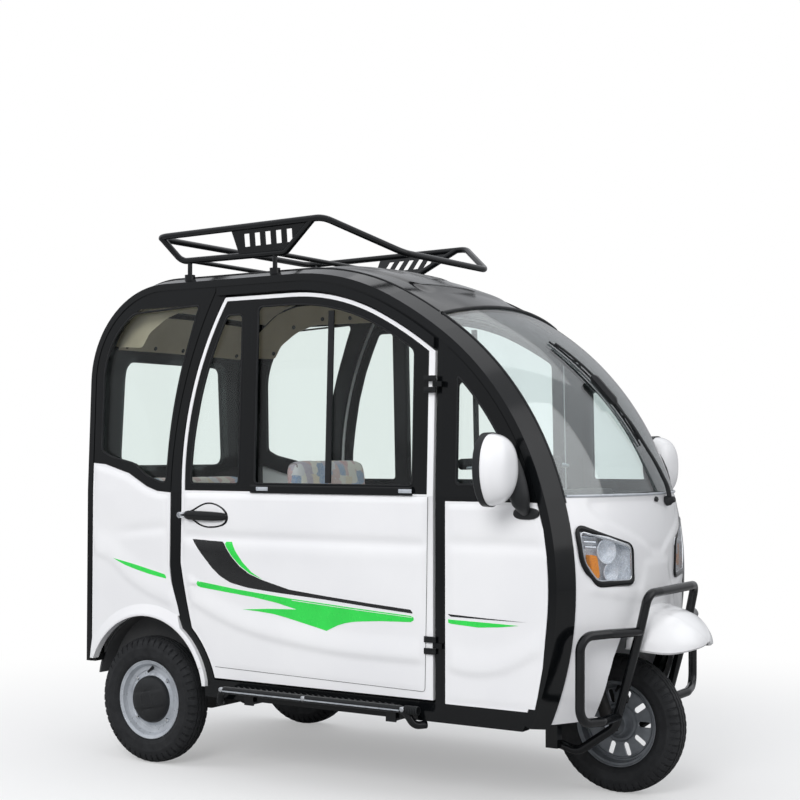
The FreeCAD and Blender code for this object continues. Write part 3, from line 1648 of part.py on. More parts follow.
def rear_bumper():
    y = 340
    z = 292
    x = TAIL_X - TAIL_CROWN + size.bumper_tube / 2
    bar = tube([(x + 60, -y, z), (x, -y, z), (x, y, z), (x + 60, y, z)], size.bumper_tube, 40)
    pieces = [bar]
    high = size.deck_height - size.floor_depth - 14
    for sign in (-1, 1):
        inner, outer = sorted((sign * (size.rail_spread - 12), sign * (size.rail_spread + 12)))
        pieces.append(block(x, rear(-240) - size.panel_gap, inner, outer, z - 8, z + 8))
        pieces.append(block(rear(-240) - 6, rear(-240) - size.panel_gap, inner, outer, z - 8, high))
    return fused(pieces)


def mirror_body():
    """A rounded shell on a bent arm, with a dished back for its glass."""
    centre = Vector(front(-111), -600, 1013)
    face = face_from([(-82, -106), (82, -106), (82, 106), (-82, 106)])
    face = rounded(face, 68)
    face.rotate(Vector(0, 0, 0), UP, 90)
    face.translate(centre - Vector(30, 0, 0))
    shell = face.extrude(Vector(82, 0, 0))
    rim = [edge for edge in shell.Edges if min(v.X for v in edge.Vertexes) > centre.x + 51]
    shell = shell.makeFillet(48, rim)
    back = face.copy()
    recess = grown(back, -9).extrude(Vector(8, 0, 0))
    shell = shell.cut(recess)
    arm = tube([
        (front(-66), -492, 884),
        (front(-70), -540, 884),
        (front(-104), -590, 930),
    ], 22, 24)
    base = rounded(window_box(front(-114), front(-30), 866, 902), 17)
    foot = slab(base, -14, -size.panel_gap)
    return fused([shell, arm, foot])


def mirror_pane():
    centre = Vector(front(-111), -600, 1013)
    face = rounded(face_from([(-82, -106), (82, -106), (82, 106), (-82, 106)]), 68)
    face.rotate(Vector(0, 0, 0), UP, 90)
    face.translate(centre - Vector(30, 0, 0))
    pane = grown(face, -9 - size.panel_gap)
    pane.translate(Vector(3, 0, 0))
    return pane.extrude(Vector(4.7, 0, 0))


def wiper():
    """A bent arm and blade in front of the screen, on a pivot at the top of the cowl."""
    centre, radius = ARCS["nose"][:2]
    y = -20

    def above(angle, height):
        x, z = polar(centre, radius + height, angle)
        return Vector(x, y, z)

    table = ((13.2, 118), (20, 113), (27, 106), (34, 100), (41, 92))
    places = [above(angle, height) for angle, height in table]
    pieces = [rod(low, high, 5) for low, high in zip(places, places[1:])]
    pieces.append(rod(places[0] - Vector(44, 0, 10), places[0] + Vector(8, 0, 2), 13))
    return fused(pieces).cut(cowl_shell(size.panel_gap, -300)).removeSplitter()


def soft_cushion(name, x_low, x_high, half, top):
    """A cushion as a padded rectangle with its upper edges rounded."""
    body = new_body(name)
    sketch = new_sketch(body, name + "_outline", "XY_Plane", top - cell.cushion_depth)
    draw_rectangle(sketch, x_low, x_high, -half, half)
    pad = feature(body, "Pad", name + "_pad", sketch, Length=cell.cushion_depth)
    doc.recompute()
    edges = ["Edge%d" % (i + 1) for i, edge in enumerate(pad.Shape.Edges) if edge.BoundBox.ZMin > top.value - 1]
    round_top = body.newObject("PartDesign::Fillet", name + "_round")
    round_top.Base = (pad, edges)
    bind(round_top, Radius=cell.cushion_depth * 0.325)
    body.Tip = round_top
    return body


def soft_back(name, half, corners):
    """A backrest as a profile padded across the vehicle."""
    body = new_body(name)
    sketch = new_sketch(body, name + "_outline", "XZ_Plane")
    draw_outline(sketch, corners)
    feature(body, "Pad", name + "_pad", sketch, Length=half * 2, Midplane=True)
    return body


def driver_seat(name):
    """The driver's cushion and leaned backrest, as one plain soft solid each."""
    wide = cell.seat_half_width
    top = cell.seat_height
    back = REAR_X + cell.seat_back
    cushion = soft_cushion(name + "_cushion", back, REAR_X + cell.seat_front, wide, top)
    backrest = soft_back(name + "_backrest", wide, [
        (back - 75, top + 12),
        (back + 8, top + 4),
        (back - 35, cell.backrest_height),
        (back - 98, cell.backrest_height - 4),
    ])
    return gathered(name, [cushion, backrest])


def seat_box(body, x_low, x_high, half, low, top):
    """A box open below: a padded rectangle with a pocket from its underside."""
    wall = cell.base_wall
    sketch = new_sketch(body, body.Name + "_outline", "XY_Plane", low)
    draw_rectangle(sketch, x_low, x_high, -half, half)
    feature(body, "Pad", body.Name + "_pad", sketch, Length=top - low)
    inner = new_sketch(body, body.Name + "_inside", "XY_Plane", low)
    draw_rectangle(inner, x_low + wall, x_high - wall, wall - half, half - wall)
    feature(body, "Pocket", body.Name + "_hollow", inner, Length=top - low - wall, Reversed=True)


def seat_base(name):
    """A box under the driver's cushion, with a bracket that carries the backrest."""
    top = cell.seat_height - cell.cushion_depth - cell.soft_gap
    low = cell.floor_height + cell.floor_depth + cell.panel_gap
    back = REAR_X + cell.seat_back
    body = new_body(name)
    seat_box(body, back - 30, REAR_X + cell.seat_front - 20, cell.seat_half_width - 5, low, top)
    high = cell.backrest_height - 110
    for word, place in (("right", 100), ("left", -130)):
        sketch = new_sketch(body, "%s_arm_%s" % (name, word), "XZ_Plane", place)
        draw_outline(sketch, [
            (back - 24, top - 60),
            (back - 30, top - 60),
            (back - 82, cell.seat_height + 10),
            (back - 104, high),
            (back - 97.3, high),
            (back - 75.3, cell.seat_height + 10),
            (back - 24, top - 40),
        ])
        feature(body, "Pad", "%s_arm_pad_%s" % (name, word), sketch, Length=30.0)
    return body


def rear_bench(name):
    """The passengers' cushion and backrest across the rear."""
    wide = cell.bench_half_width
    top = cell.bench_height
    pad = cell.cushion_depth
    back = REAR_X - cell.bench_back
    high = cell.bench_backrest_height
    cushion = soft_cushion(name + "_cushion", back, REAR_X + cell.bench_front, wide, top)
    backrest = soft_back(name + "_backrest", wide, [
        (back - 84, top - pad),
        (back - cell.soft_gap, top - pad),
        (back - cell.soft_gap, top),
        (back - 32, high),
        (back - 94, high),
    ])
    return gathered(name, [cushion, backrest])


def bench_base(name):
    top = cell.bench_height - cell.cushion_depth - cell.soft_gap
    low = cell.deck_height + cell.panel_gap
    body = new_body(name)
    seat_box(body, REAR_X - cell.bench_back - 74, REAR_X + cell.bench_front - 15, cell.bench_half_width - 6, low, top)
    return body


def battery_pack(name):
    low = cell.floor_height + cell.floor_depth + cell.panel_gap
    wide = cell.battery_half_width
    back = REAR_X + cell.seat_back
    return bound_box(name, back, REAR_X + cell.seat_front - 50, -wide, wide, low, low + cell.battery_height)


def build():
    hand_over("chassis_frame", chassis_frame("chassis_frame"))
    hand_over("floor_pan", floor_pan("floor_pan"))
    pair("side_frame", solid_object("side_frame_right", side_frame()))
    twins("rear_quarter_panels", solid_object("rear_quarter_panel", leaned(rear_quarter_panel())))
    twins("front_quarter_panels", solid_object("front_quarter_panel", front_quarter_panel()))
    rear_surround = window_surround(REAR_WINDOW_OPENING, REAR_HOLE)
    front_surround = window_surround(FRONT_WINDOW_OPENING, FRONT_HOLE)
    twins("rear_window_surrounds", solid_object("rear_window_surround", rear_surround))
    twins("front_window_surrounds", solid_object("front_window_surround", front_surround))
    depth = size.panel_depth + size.panel_gap
    panes = Part.makeCompound([side_glass(hole, depth) for hole in (REAR_HOLE, FRONT_HOLE)])
    twins("quarter_glass", solid_object("quarter_panes", panes))
    hand_over("roof_panel", roof_panel("roof_panel"))
    hand_over("headliner", headliner("headliner"))
    hand_over("rear_panel", rear_panel("rear_panel"))
    hand_over("rear_window_frame", rear_window_frame("rear_window_frame"))
    hand_over("rear_glass", rear_glass("rear_glass"))
    twins("tail_lamps", solid_object("tail_lamp", tail_lamp()))
    keep("rear_bumper", rear_bumper())
    hand_over("front_cowl", front_cowl("front_cowl"))
    hand_over("windscreen", windscreen("windscreen"))
    twins("headlamp_housings", solid_object("headlamp_housing", headlamp_housing()))
    twins("headlamp_lenses", solid_object("headlamp_lens", headlamp_lens()))
    hand_over("front_mudguard", front_mudguard("front_mudguard"))
    keep("front_guard", front_guard())
    keep("roof_rack", roof_rack())
    twins("side_steps", solid_object("side_step", side_step()))
    twins("mirrors", solid_object("mirror", mirror_body()))
    twins("mirror_glass", solid_object("mirror_pane", mirror_pane()))
    keep("wiper", wiper())
    keep("dashboard", dashboard())
    hand_over("driver_seat", driver_seat("driver_seat"))
    hand_over("driver_seat_base", seat_base("driver_seat_base"))
    hand_over("rear_bench", rear_bench("rear_bench"))
    hand_over("rear_bench_base", bench_base("rear_bench_base"))
    hand_over("battery_pack", battery_pack("battery_pack"))
    hand_over("rear_axle", rear_axle("rear_axle"))
    hand_over("leaf_springs", leaf_springs("leaf_springs"))
    pair("door_panel", solid_object("door_panel_right", door_panel()))
    pair("door_window_frame", solid_object("door_window_frame_right", door_window_frame()))
    pair("door_glass", solid_object("door_glass_right", door_glass()))
    pair("door_handle", door_handle("door_handle_right"))
    hand_over("front_fork", fork("front_fork"))
    keep("handlebar", handlebar())
    hand_over("front_tyre", tyre("front_tyre", FRONT_X, 0))
    hand_over("front_wheel", front_wheel("front_wheel"))
    for word, side in (("right", -1), ("left", 1)):
        name = "rear_tyre_" + word
        hand_over(name, tyre(name, REAR_X, cell.rear_track * side / 2))
        name = "rear_wheel_" + word
        hand_over(name, rear_wheel(name, side))


def write():
    os.makedirs("parts", exist_ok=True)
    doc.recompute()
    for item in doc.Objects:
        bad = [state for state in item.State if state in ("Invalid", "Error")]
        if bad:
            raise RuntimeError("%s is %s" % (item.Label, bad))
    for item in parts:
        shape = item.Shape
        if shape.isNull() or not shape.isValid() or shape.Volume <= 0:
            raise RuntimeError("%s has a bad shape" % item.Label)
    for item in parts:
        settled(item.Shape).exportStep("parts/%s.step" % item.Label)


build()
write()
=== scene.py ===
"""Looks of an enclosed electric tricycle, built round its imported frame."""

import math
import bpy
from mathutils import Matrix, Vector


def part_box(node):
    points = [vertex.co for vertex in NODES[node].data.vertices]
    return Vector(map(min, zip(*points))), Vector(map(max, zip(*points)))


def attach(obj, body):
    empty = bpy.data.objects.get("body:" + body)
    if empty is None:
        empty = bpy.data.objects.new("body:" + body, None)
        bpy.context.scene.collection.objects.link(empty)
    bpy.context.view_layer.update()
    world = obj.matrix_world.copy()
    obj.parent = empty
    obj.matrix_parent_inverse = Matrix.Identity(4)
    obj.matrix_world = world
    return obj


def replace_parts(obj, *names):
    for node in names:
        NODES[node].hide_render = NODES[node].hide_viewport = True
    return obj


bl_info = {
    "name": "Enclosed Tricycle Dressing",
    "version": (1, 0, 0),
    "blender": (4, 5, 0),
    "location": "View3D > Sidebar > Tricycle",
    "description": "Finishes, trim and soft parts of an enclosed electric tricycle",
    "category": "Object",
}

import bmesh
import bpy
from mathutils import Vector
from mathutils.geometry import tessellate_polygon

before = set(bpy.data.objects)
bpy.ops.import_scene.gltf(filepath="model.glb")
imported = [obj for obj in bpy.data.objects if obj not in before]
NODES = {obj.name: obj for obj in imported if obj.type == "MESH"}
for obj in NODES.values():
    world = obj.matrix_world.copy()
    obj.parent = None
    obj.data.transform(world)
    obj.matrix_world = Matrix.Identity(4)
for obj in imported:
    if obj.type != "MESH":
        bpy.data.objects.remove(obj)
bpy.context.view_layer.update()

MM = 0.001
WHEELBASE = 1542.0
WHEEL_RADIUS = 215.0
HALF_TRACK = 440.0
HALF_WIDTH = 485.0
BELT = 930.0
LEAN = math.tan(math.radians(2.0))
SIDES = ((-1, "right"), (1, "left"))


def rear(reach):
    """X in metres of a place given in millimetres forward of the rear axle."""
    return (reach - WHEELBASE / 2) * MM


def front(reach):
    """X in metres of a place given in millimetres forward of the front axle."""
    return (reach + WHEELBASE / 2) * MM


def lean(z):
    """How far the side has moved inward at a height, in millimetres."""
    return max(0.0, z - BELT) * LEAN


def spot(reach, y, z):
    """A place given in millimetres, its reach measured forward of the rear axle."""
    return Vector((rear(reach), y * MM, z * MM))


def side_place(side, reach, z, out=0.0):
    """A place on the outer side plane: reach and z in millimetres, out is proud of the plane."""
    return spot(reach, side * (HALF_WIDTH - lean(z) + out), z)


# The outline of the body seen from the side, as arcs of (centre X, centre Z, radius, first and
# last angle) in millimetres from the middle of the wheelbase.
NOSE_X = 49.0 + WHEELBASE / 2
TAIL_X = -310.0 - WHEELBASE / 2
ROOF_Z = 1671.0
NOSE_R, APRON_R, BROW_R, ROOF_R, TAIL_R = 980.0, 1010.0, 1500.0, 850.0, 354.0
ROOF_END, BROW_END = 63.0, 54.0


def arcs():
    def cos(angle):
        return math.cos(math.radians(angle))

    def sin(angle):
        return math.sin(math.radians(angle))

    nose_run, nose_rise = NOSE_R * (1 - cos(BROW_END)), NOSE_R * sin(BROW_END)
    brow_run = BROW_R * (cos(BROW_END) - cos(ROOF_END))
    brow_rise = BROW_R * (sin(ROOF_END) - sin(BROW_END))
    flat_end = NOSE_X - nose_run - brow_run - ROOF_R * cos(ROOF_END)
    nose_z = ROOF_Z - ROOF_R * (1 - sin(ROOF_END)) - brow_rise - nose_rise
    roof = (flat_end, ROOF_Z - ROOF_R)
    drop = ROOF_R - BROW_R
    brow = (roof[0] + drop * cos(ROOF_END), roof[1] + drop * sin(ROOF_END))
    return {
        "roof": (*roof, ROOF_R, 90.0, ROOF_END),
        "brow": (*brow, BROW_R, ROOF_END, BROW_END),
        "nose": (NOSE_X - NOSE_R, nose_z, NOSE_R, BROW_END, 0.0),
        "apron": (NOSE_X - APRON_R, nose_z, APRON_R, 0.0, -26.0),
    }


ARCS = arcs()
NOSE_Z = ARCS["nose"][1]
FLAT_END = ARCS["roof"][0]


def on_outline(angle, offset=0.0):
    """A place on the front of the outline by its normal's angle: (x, z) in millimetres."""
    for x, z, radius, first, last in ARCS.values():
        if first >= angle >= last:
            turn = math.radians(angle)
            return x + (radius + offset) * math.cos(turn), z + (radius + offset) * math.sin(turn)
    raise ValueError("no such place on the outline")


def lerp(a, b, t):
    return a + (b - a) * t


def soft_step(low, high, value):
    """0 below low, 1 above high and an easy slope between them."""
    t = min(1.0, max(0.0, (value - low) / (high - low)))
    return t * t * (3 - 2 * t)


def plateau(rise, top, edge, foot, value):
    """1 between top and edge, with easy slopes down to 0 at rise and foot."""
    return soft_step(rise, top, value) * (1 - soft_step(edge, foot, value))


def steps_between(low, high, count):
    """Even steps from low to high, both included."""
    return [lerp(low, high, i / count) for i in range(count + 1)]


def circle(count):
    """The cosine and sine of each of count even turns."""
    turns = [2 * math.pi * j / count for j in range(count)]
    return [(math.cos(turn), math.sin(turn)) for turn in turns]


# Mesh tools.
class Build:
    """Collects vertices and faces of one piece."""

    def __init__(self):
        self.verts = []
        self.faces = []

    def add(self, verts, faces):
        base = len(self.verts)
        self.verts.extend(Vector(v) for v in verts)
        self.faces.extend(tuple(base + i for i in face) for face in faces)
        return self

    def ring(self, rows, closed_rows=True, closed_ends=False):
        """Skins rows of equal length. closed_rows joins each row's ends, closed_ends the first and
        last rows, and closed rows with open ends are capped."""
        count = len(rows[0])
        faces = []
        for i in range(len(rows) if closed_ends else len(rows) - 1):
            k = (i + 1) % len(rows)
            for j in range(count if closed_rows else count - 1):
                after = (j + 1) % count
                faces.append((i * count + j, i * count + after, k * count + after, k * count + j))
        if closed_rows and not closed_ends:
            faces.append(tuple(reversed(range(count))))
            faces.append(tuple((len(rows) - 1) * count + j for j in range(count)))
        return self.add([v for row in rows for v in row], faces)

    def tube(self, path, radius, sides=14, closed=False):
        """A round tube along a path. Its radius may be a function of the share of the way."""
        path = [Vector(p) for p in path]
        rows = []
        normal = None
        for i, at in enumerate(path):
            before = path[i - 1] if (i or closed) else at
            after = path[(i + 1) % len(path)] if (i + 1 < len(path) or closed) else at
            along = (after - before).normalized()
            if normal is None:
                normal = along.orthogonal().normalized()
            normal = (normal - along * normal.dot(along)).normalized()
            other = along.cross(normal)
            size = radius(i / (len(path) - 1)) if callable(radius) else radius
            rows.append([at + normal * c * size + other * s * size for c, s in circle(sides)])
        return self.ring(rows, closed_ends=closed)

    def lathe(self, centre, axis, profile, steps=64, unit=1.0):
        """Turns a profile of (distance along the axis, radius), in metres times the unit."""
        axis = Vector(axis).normalized()
        side = axis.orthogonal().normalized()
        return self.turned(Vector(centre), axis, (side, axis.cross(side)), profile, steps, unit)

    def turned(self, centre, axis, plane, profile, steps, unit, closed=False):
        """Turns a profile about an axis, from the first to the second arm of its plane. A closed
        profile's last point is joined to its first."""
        rows = []
        for c, s in circle(steps):
            out = plane[0] * c + plane[1] * s
            rows.append([centre + axis * (along * unit) + out * (radius * unit)
                         for along, radius in profile])
        return self.ring(rows, closed_rows=closed, closed_ends=True)

    def make(self, name, finish, body="body", slot=None, crease=38):
        """The object, which rides on a body and has its edges sharp past the crease angle."""
        mesh = bpy.data.meshes.new(name)
        mesh.from_pydata([tuple(v) for v in self.verts], [], self.faces)
        mesh.validate()
        work = bmesh.new()
        work.from_mesh(mesh)
        bmesh.ops.recalc_face_normals(work, faces=work.faces)
        work.to_mesh(mesh)
        work.free()
        mesh.polygons.foreach_set("use_smooth", [True] * len(mesh.polygons))
        mesh.set_sharp_from_angle(angle=math.radians(crease))
        mesh.update()
        mesh.materials.append(FINISH[finish])
        made = bpy.data.objects.new(name, mesh)
        bpy.context.scene.collection.objects.link(made)
        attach(made, body)
        return made


def corner_arc(before, corner, after, radius, steps):
    """A small arc in place of a corner, which takes less than half of either arm."""
    back, ahead = before - corner, after - corner
    reach = min(radius, 0.45 * back.length, 0.45 * ahead.length)
    a, b = corner + back.normalized() * reach, corner + ahead.normalized() * reach
    return [a.lerp(corner, t).lerp(corner.lerp(b, t), t) for t in steps_between(0, 1, steps)]


def rounded_line(points, radius, steps=5):
    """A path with its corners rounded by small arcs."""
    points = [Vector(p) for p in points]
    line = [points[0]]
    for before, corner, after in zip(points, points[1:], points[2:]):
        line.extend(corner_arc(before, corner, after, radius, steps))
    line.append(points[-1])
    return line


def round_loop(points, radius, steps=5):
    """A closed outline with each corner rounded."""
    points = [Vector(p) for p in points]
    line = []
    for i, corner in enumerate(points):
        line.extend(corner_arc(points[i - 1], corner, points[(i + 1) % len(points)], radius, steps))
    return line


# Material tools.
def linear(colour):
    """An sRGB hex value as linear red, green, blue and an alpha of 1."""
    parts = [int(colour[i:i + 2], 16) / 255 for i in (1, 3, 5)]
    return tuple(c / 12.92 if c <= 0.04045 else ((c + 0.055) / 1.055) ** 2.4 for c in parts) + (1.0,)


def node(tree, kind, values=None, links=None):
    """Adds a node, sets its sockets or settings, and links sockets into its inputs."""
    made = tree.nodes.new(kind)
    for key, value in (values or {}).items():
        if isinstance(key, int) or key in made.inputs:
            made.inputs[key].default_value = value
        else:
            setattr(made, key, value)
    for key, source in (links or {}).items():
        tree.links.new(source, made.inputs[key])
    return made


def blank(name):
    """A new material with an empty tree and its output."""
    material = bpy.data.materials.new(name)
    material.use_nodes = True
    tree = material.node_tree
    tree.nodes.clear()
    return material, tree, tree.nodes.new("ShaderNodeOutputMaterial")


def place_of(tree):
    return node(tree, "ShaderNodeTexCoord").outputs["Object"]


def noise(tree, size_mm, detail=3.0, where=None):
    """Noise whose blotches are about size_mm across."""
    made = node(tree, "ShaderNodeTexNoise", {"Scale": 1000.0 / size_mm, "Detail": detail},
                {"Vector": where or place_of(tree)})
    return made.outputs["Fac"]


def spread(tree, value, low, high):
    """Maps the middle of a noise onto a range."""
    values = {"From Min": 0.3, "From Max": 0.7, "To Min": low, "To Max": high}
    return node(tree, "ShaderNodeMapRange", values, {"Value": value}).outputs["Result"]


def blend_colours(tree, factor, one, two):
    mix = node(tree, "ShaderNodeMix", {"data_type": "RGBA"})
    tree.links.new(factor, mix.inputs[0])
    for socket, colour in ((6, one), (7, two)):
        if isinstance(colour, str):
            mix.inputs[socket].default_value = linear(colour)
        else:
            tree.links.new(colour, mix.inputs[socket])
    return mix.outputs[2]


def bump(tree, height, depth_mm, strength=1.0):
    made = node(tree, "ShaderNodeBump", {"Strength": strength, "Distance": depth_mm * MM},
                {"Height": height})
    return made.outputs["Normal"]


def solid(name, colour, shade, rough, blotch=260.0, grain=None, **sockets):
    """An opaque finish: colour drifting to a shade over blotches, roughness between two values,
    and a grain of (size in mm, depth in mm)."""
    material, tree, out = blank(name)
    where = place_of(tree)
    tone = spread(tree, noise(tree, blotch, 4.0, where), 0.0, 1.0)
    values = {key.replace("_", " "): value for key, value in sockets.items()}
    links = {
        "Base Color": blend_colours(tree, tone, colour, shade),
        "Roughness": spread(tree, noise(tree, blotch / 3, 5.0, where), *rough),
    }
    if grain:
        links["Normal"] = bump(tree, noise(tree, grain[0], 2.0, where), grain[1])
    shader = node(tree, "ShaderNodeBsdfPrincipled", values, links)
    tree.links.new(shader.outputs[0], out.inputs["Surface"])
    return material


FINISH = {}


def enamel_white():
    # Sprayed white enamel on pressed steel: clean gloss with a faint orange peel.
    return solid("white sprayed enamel", "#F3F3F4", "#ECECEE", (0.16, 0.24), 420, (9, 0.012),
                 Coat_Weight=0.7, Coat_Roughness=0.06, IOR=1.5)


def enamel_black():
    # Sprayed black enamel: deep gloss that mirrors the sky, with the same orange peel.
    return solid("black sprayed enamel", "#08090A", "#0D0F11", (0.1, 0.18), 300, (8, 0.012), IOR=1.42)


def tube_black():
    # Black gloss powder coat on bent steel tube: bright long highlights, slight ripple.
    return solid("black powder coat", "#08090B", "#101214", (0.1, 0.2), 90, (5, 0.02), IOR=1.48)


def moulded_black():
    # Moulded black ABS with a fine spark-eroded texture, about 1.2 mm, which dulls its gloss.
    return solid("black moulded abs", "#141517", "#1D1F21", (0.42, 0.56), 120, (1.6, 0.05), IOR=1.52)


def rubber():
    # Vulcanised tyre rubber: dark, dull, with dust in broad patches.
    return solid("tyre rubber", "#17181A", "#242527", (0.62, 0.82), 60, (2.2, 0.09), IOR=1.52)


def seal():
    # Extruded EPDM door and window rubber: even dark grey with a soft sheen.
    return solid("extruded door rubber", "#101113", "#18191B", (0.45, 0.58), 80, (3, 0.03), IOR=1.5)


def steel_silver():
    # Aluminium-flake paint on a pressed wheel: pale, a third metallic, lightly mottled.
    return solid("silver wheel paint", "#CBD0D6", "#B4B9C0", (0.26, 0.4), 40, (1.5, 0.02),
                 Metallic=0.4, Coat_Weight=0.3, Coat_Roughness=0.12)


def steel_grey():
    # Grey flake paint on the front wheel, a darker batch than the rear ones.
    return solid("grey wheel paint", "#8B8F94", "#74787D", (0.32, 0.46), 40, (1.5, 0.03),
                 Metallic=0.55, Coat_Weight=0.2, Coat_Roughness=0.2)


def chrome():
    # Bright chrome plate on plastic and brass: near mirror with fine haze.
    return solid("chrome plate", "#E6E8EB", "#D5D8DC", (0.05, 0.12), 30, Metallic=1.0)


def reflector():
    # Aluminium vapour on moulded lamp bowls, with the facets' haze about 7 mm across. Its near-white colour
    # at a quarter metallic is a painted reflection: it stands in for the bright mirror shine of the bowls.
    return solid("aluminised reflector", "#F3F5F8", "#DCE0E6", (0.16, 0.34), 14, (7, 0.6), Metallic=0.25)


def vinyl_green():
    # Cut green sign vinyl: flat film with a slight waviness from the paint under it.
    return solid("green cut vinyl", "#2FE052", "#28D24A", (0.22, 0.32), 90, (12, 0.02), Coat_Weight=0.4,
                 IOR=1.5)


def vinyl_black():
    # Cut black sign vinyl.
    return solid("black cut vinyl", "#0B0C0D", "#111214", (0.22, 0.32), 90, (12, 0.02), Coat_Weight=0.4,
                 IOR=1.5)


def lining():
    # Foam-backed headlining cloth: warm beige, matt, with a 2.5 mm nap that shows as speckle.
    return solid("beige headlining", "#CFC2AC", "#BFB199", (0.82, 0.94), 180, (3.2, 0.1), Sheen_Weight=0.3)


def mat_grey():
    # Ribbed rubber floor covering, dusty dark grey.
    return solid("grey floor rubber", "#4A4B4D", "#5A5A5A", (0.7, 0.85), 150, (3.5, 0.2), IOR=1.5)


def casting():
    # Black painted steel castings and forgings under the body, coarse and dull.
    return solid("black underbody paint", "#151617", "#221F1D", (0.5, 0.72), 50, (4, 0.25), IOR=1.5)


def lens_red():
    # Injection moulded red acrylic lens with 6 mm flutes inside.
    material, tree, out = blank("red acrylic lens")
    where = place_of(tree)
    wave = node(tree, "ShaderNodeTexWave", {"Scale": 26.0, "bands_direction": "Z"}, {"Vector": where})
    colour = blend_colours(tree, wave.outputs["Fac"], "#8E0A0C", "#C4161A")
    shader = node(tree, "ShaderNodeBsdfPrincipled",
                  {"Roughness": 0.1, "IOR": 1.49, "Coat Weight": 0.8, "Coat Roughness": 0.03},
                  {"Base Color": colour, "Normal": bump(tree, wave.outputs["Fac"], 0.5)})
    tree.links.new(shader.outputs[0], out.inputs["Surface"])
    return material


def lens_amber():
    # Amber acrylic indicator block with a 4 mm prism pattern.
    material, tree, out = blank("amber acrylic lens")
    where = place_of(tree)
    cells = node(tree, "ShaderNodeTexVoronoi", {"Scale": 220.0}, {"Vector": where}).outputs["Distance"]
    colour = blend_colours(tree, cells, "#FFA21F", "#E07A08")
    shader = node(tree, "ShaderNodeBsdfPrincipled",
                  {"Roughness": 0.12, "IOR": 1.49, "Coat Weight": 0.6, "Coat Roughness": 0.03},
                  {"Base Color": colour, "Normal": bump(tree, cells, 0.8)})
    tree.links.new(shader.outputs[0], out.inputs["Surface"])
    return material


def glazing(name, tint, share, rough=0.005):
    """A clear pane: light passes straight through with a tint, and the rest mirrors."""
    material, tree, out = blank(name)
    clear = node(tree, "ShaderNodeBsdfTransparent", {"Color": linear(tint)})
    ripple = bump(tree, noise(tree, 240, 1.0), 0.5)
    mirror = node(tree, "ShaderNodeBsdfGlossy", {"Roughness": rough}, {"Normal": ripple})
    # Schlick's curve, since a pane's far face must not turn into a full mirror past 42 degrees.
    slant = node(tree, "ShaderNodeLayerWeight", {"Blend": 0.5}, {"Normal": ripple})
    edge = node(tree, "ShaderNodeMath", {"operation": "POWER", 1: 5.0}, {0: slant.outputs["Facing"]})
    amount = node(tree, "ShaderNodeMath", {"operation": "MULTIPLY_ADD", 1: 0.9, 2: share},
                  {0: edge.outputs[0]})
    mix = node(tree, "ShaderNodeMixShader", None,
               {0: amount.outputs[0], 1: clear.outputs[0], 2: mirror.outputs[0]})
    tree.links.new(mix.outputs[0], out.inputs["Surface"])
    return material


def glass_clear():
    # Toughened float glass, faintly green, with the slow ripple that tempering leaves.
    return glazing("toughened glass", "#F9FCFB", 0.03)


def screen_glass():
    # Laminated windscreen: the same float glass, curved so that it mirrors the open sky.
    return glazing("laminated windscreen", "#F4FAFA", 0.17, 0.02)


def lens_clear():
    # Moulded clear polycarbonate over the lamps.
    return glazing("clear polycarbonate", "#FBFCFD", 0.02, 0.02)


def patchwork():
    # Printed cotton seat cover in a generic patchwork of rose, blue and oat patches, 38 mm across,
    # with a plain weave of 2 mm threads, drawn that coarse so that it shows.
    material, tree, out = blank("woven patchwork cotton")
    where = place_of(tree)
    bend = node(tree, "ShaderNodeVectorMath", {"operation": "SCALE", "Scale": 0.018},
                {0: node(tree, "ShaderNodeTexNoise", {"Scale": 22.0}, {"Vector": where}).outputs["Color"]})
    moved = node(tree, "ShaderNodeVectorMath", {"operation": "ADD"}, {0: where, 1: bend.outputs[0]})
    cells = node(tree, "ShaderNodeTexVoronoi", {"Scale": 26.0, "Randomness": 0.75, "distance": "CHEBYCHEV"},
                 {"Vector": moved.outputs[0]})
    pick = node(tree, "ShaderNodeSeparateColor", None, {"Color": cells.outputs["Color"]}).outputs[0]
    ramp = node(tree, "ShaderNodeValToRGB", None, {"Fac": pick})
    ramp.color_ramp.interpolation = "CONSTANT"
    stops = ("#D9B7B5", "#94ABD0", "#ECE4DA", "#D0A3A8", "#E0DCE2", "#7F99C2", "#E8D6BE", "#BDAEC2")
    for i, colour in enumerate(stops):
        stop = ramp.color_ramp.elements[i] if i < 2 else ramp.color_ramp.elements.new(i / len(stops))
        stop.position = i / len(stops)
        stop.color = linear(colour)
    speck = spread(tree, noise(tree, 5, 3.0, where), 0.0, 0.55)
    colour = blend_colours(tree, speck, ramp.outputs["Color"], "#E4DFDA")
    warp = node(tree, "ShaderNodeTexWave", {"Scale": 78.0, "bands_direction": "X"}, {"Vector": where})
    weft = node(tree, "ShaderNodeTexWave", {"Scale": 78.0, "bands_direction": "Y"}, {"Vector": where})
    weave = node(tree, "ShaderNodeMath", {"operation": "MULTIPLY"},
                 {0: warp.outputs["Fac"], 1: weft.outputs["Fac"]})
    shader = node(tree, "ShaderNodeBsdfPrincipled", {"Roughness": 0.88, "Sheen Weight": 0.35, "IOR": 1.5},
                  {"Base Color": colour, "Normal": bump(tree, weave.outputs[0], 0.5)})
    tree.links.new(shader.outputs[0], out.inputs["Surface"])
    return material


def seam_cord():
    # Covered piping cord in plain grey-rose cotton, with a twist about 4 mm long.
    return solid("cotton piping cord", "#A39497", "#8D8288", (0.8, 0.92), 40, (4, 0.3), Sheen_Weight=0.3)


def make_finishes():
    for maker in (enamel_white, enamel_black, tube_black, moulded_black, rubber, seal, steel_silver,
                  steel_grey, chrome, reflector, vinyl_green, vinyl_black, lining, mat_grey, casting,
                  lens_red, lens_amber, glass_clear, screen_glass, lens_clear, patchwork,
                  seam_cord):
        FINISH[maker.__name__] = maker()
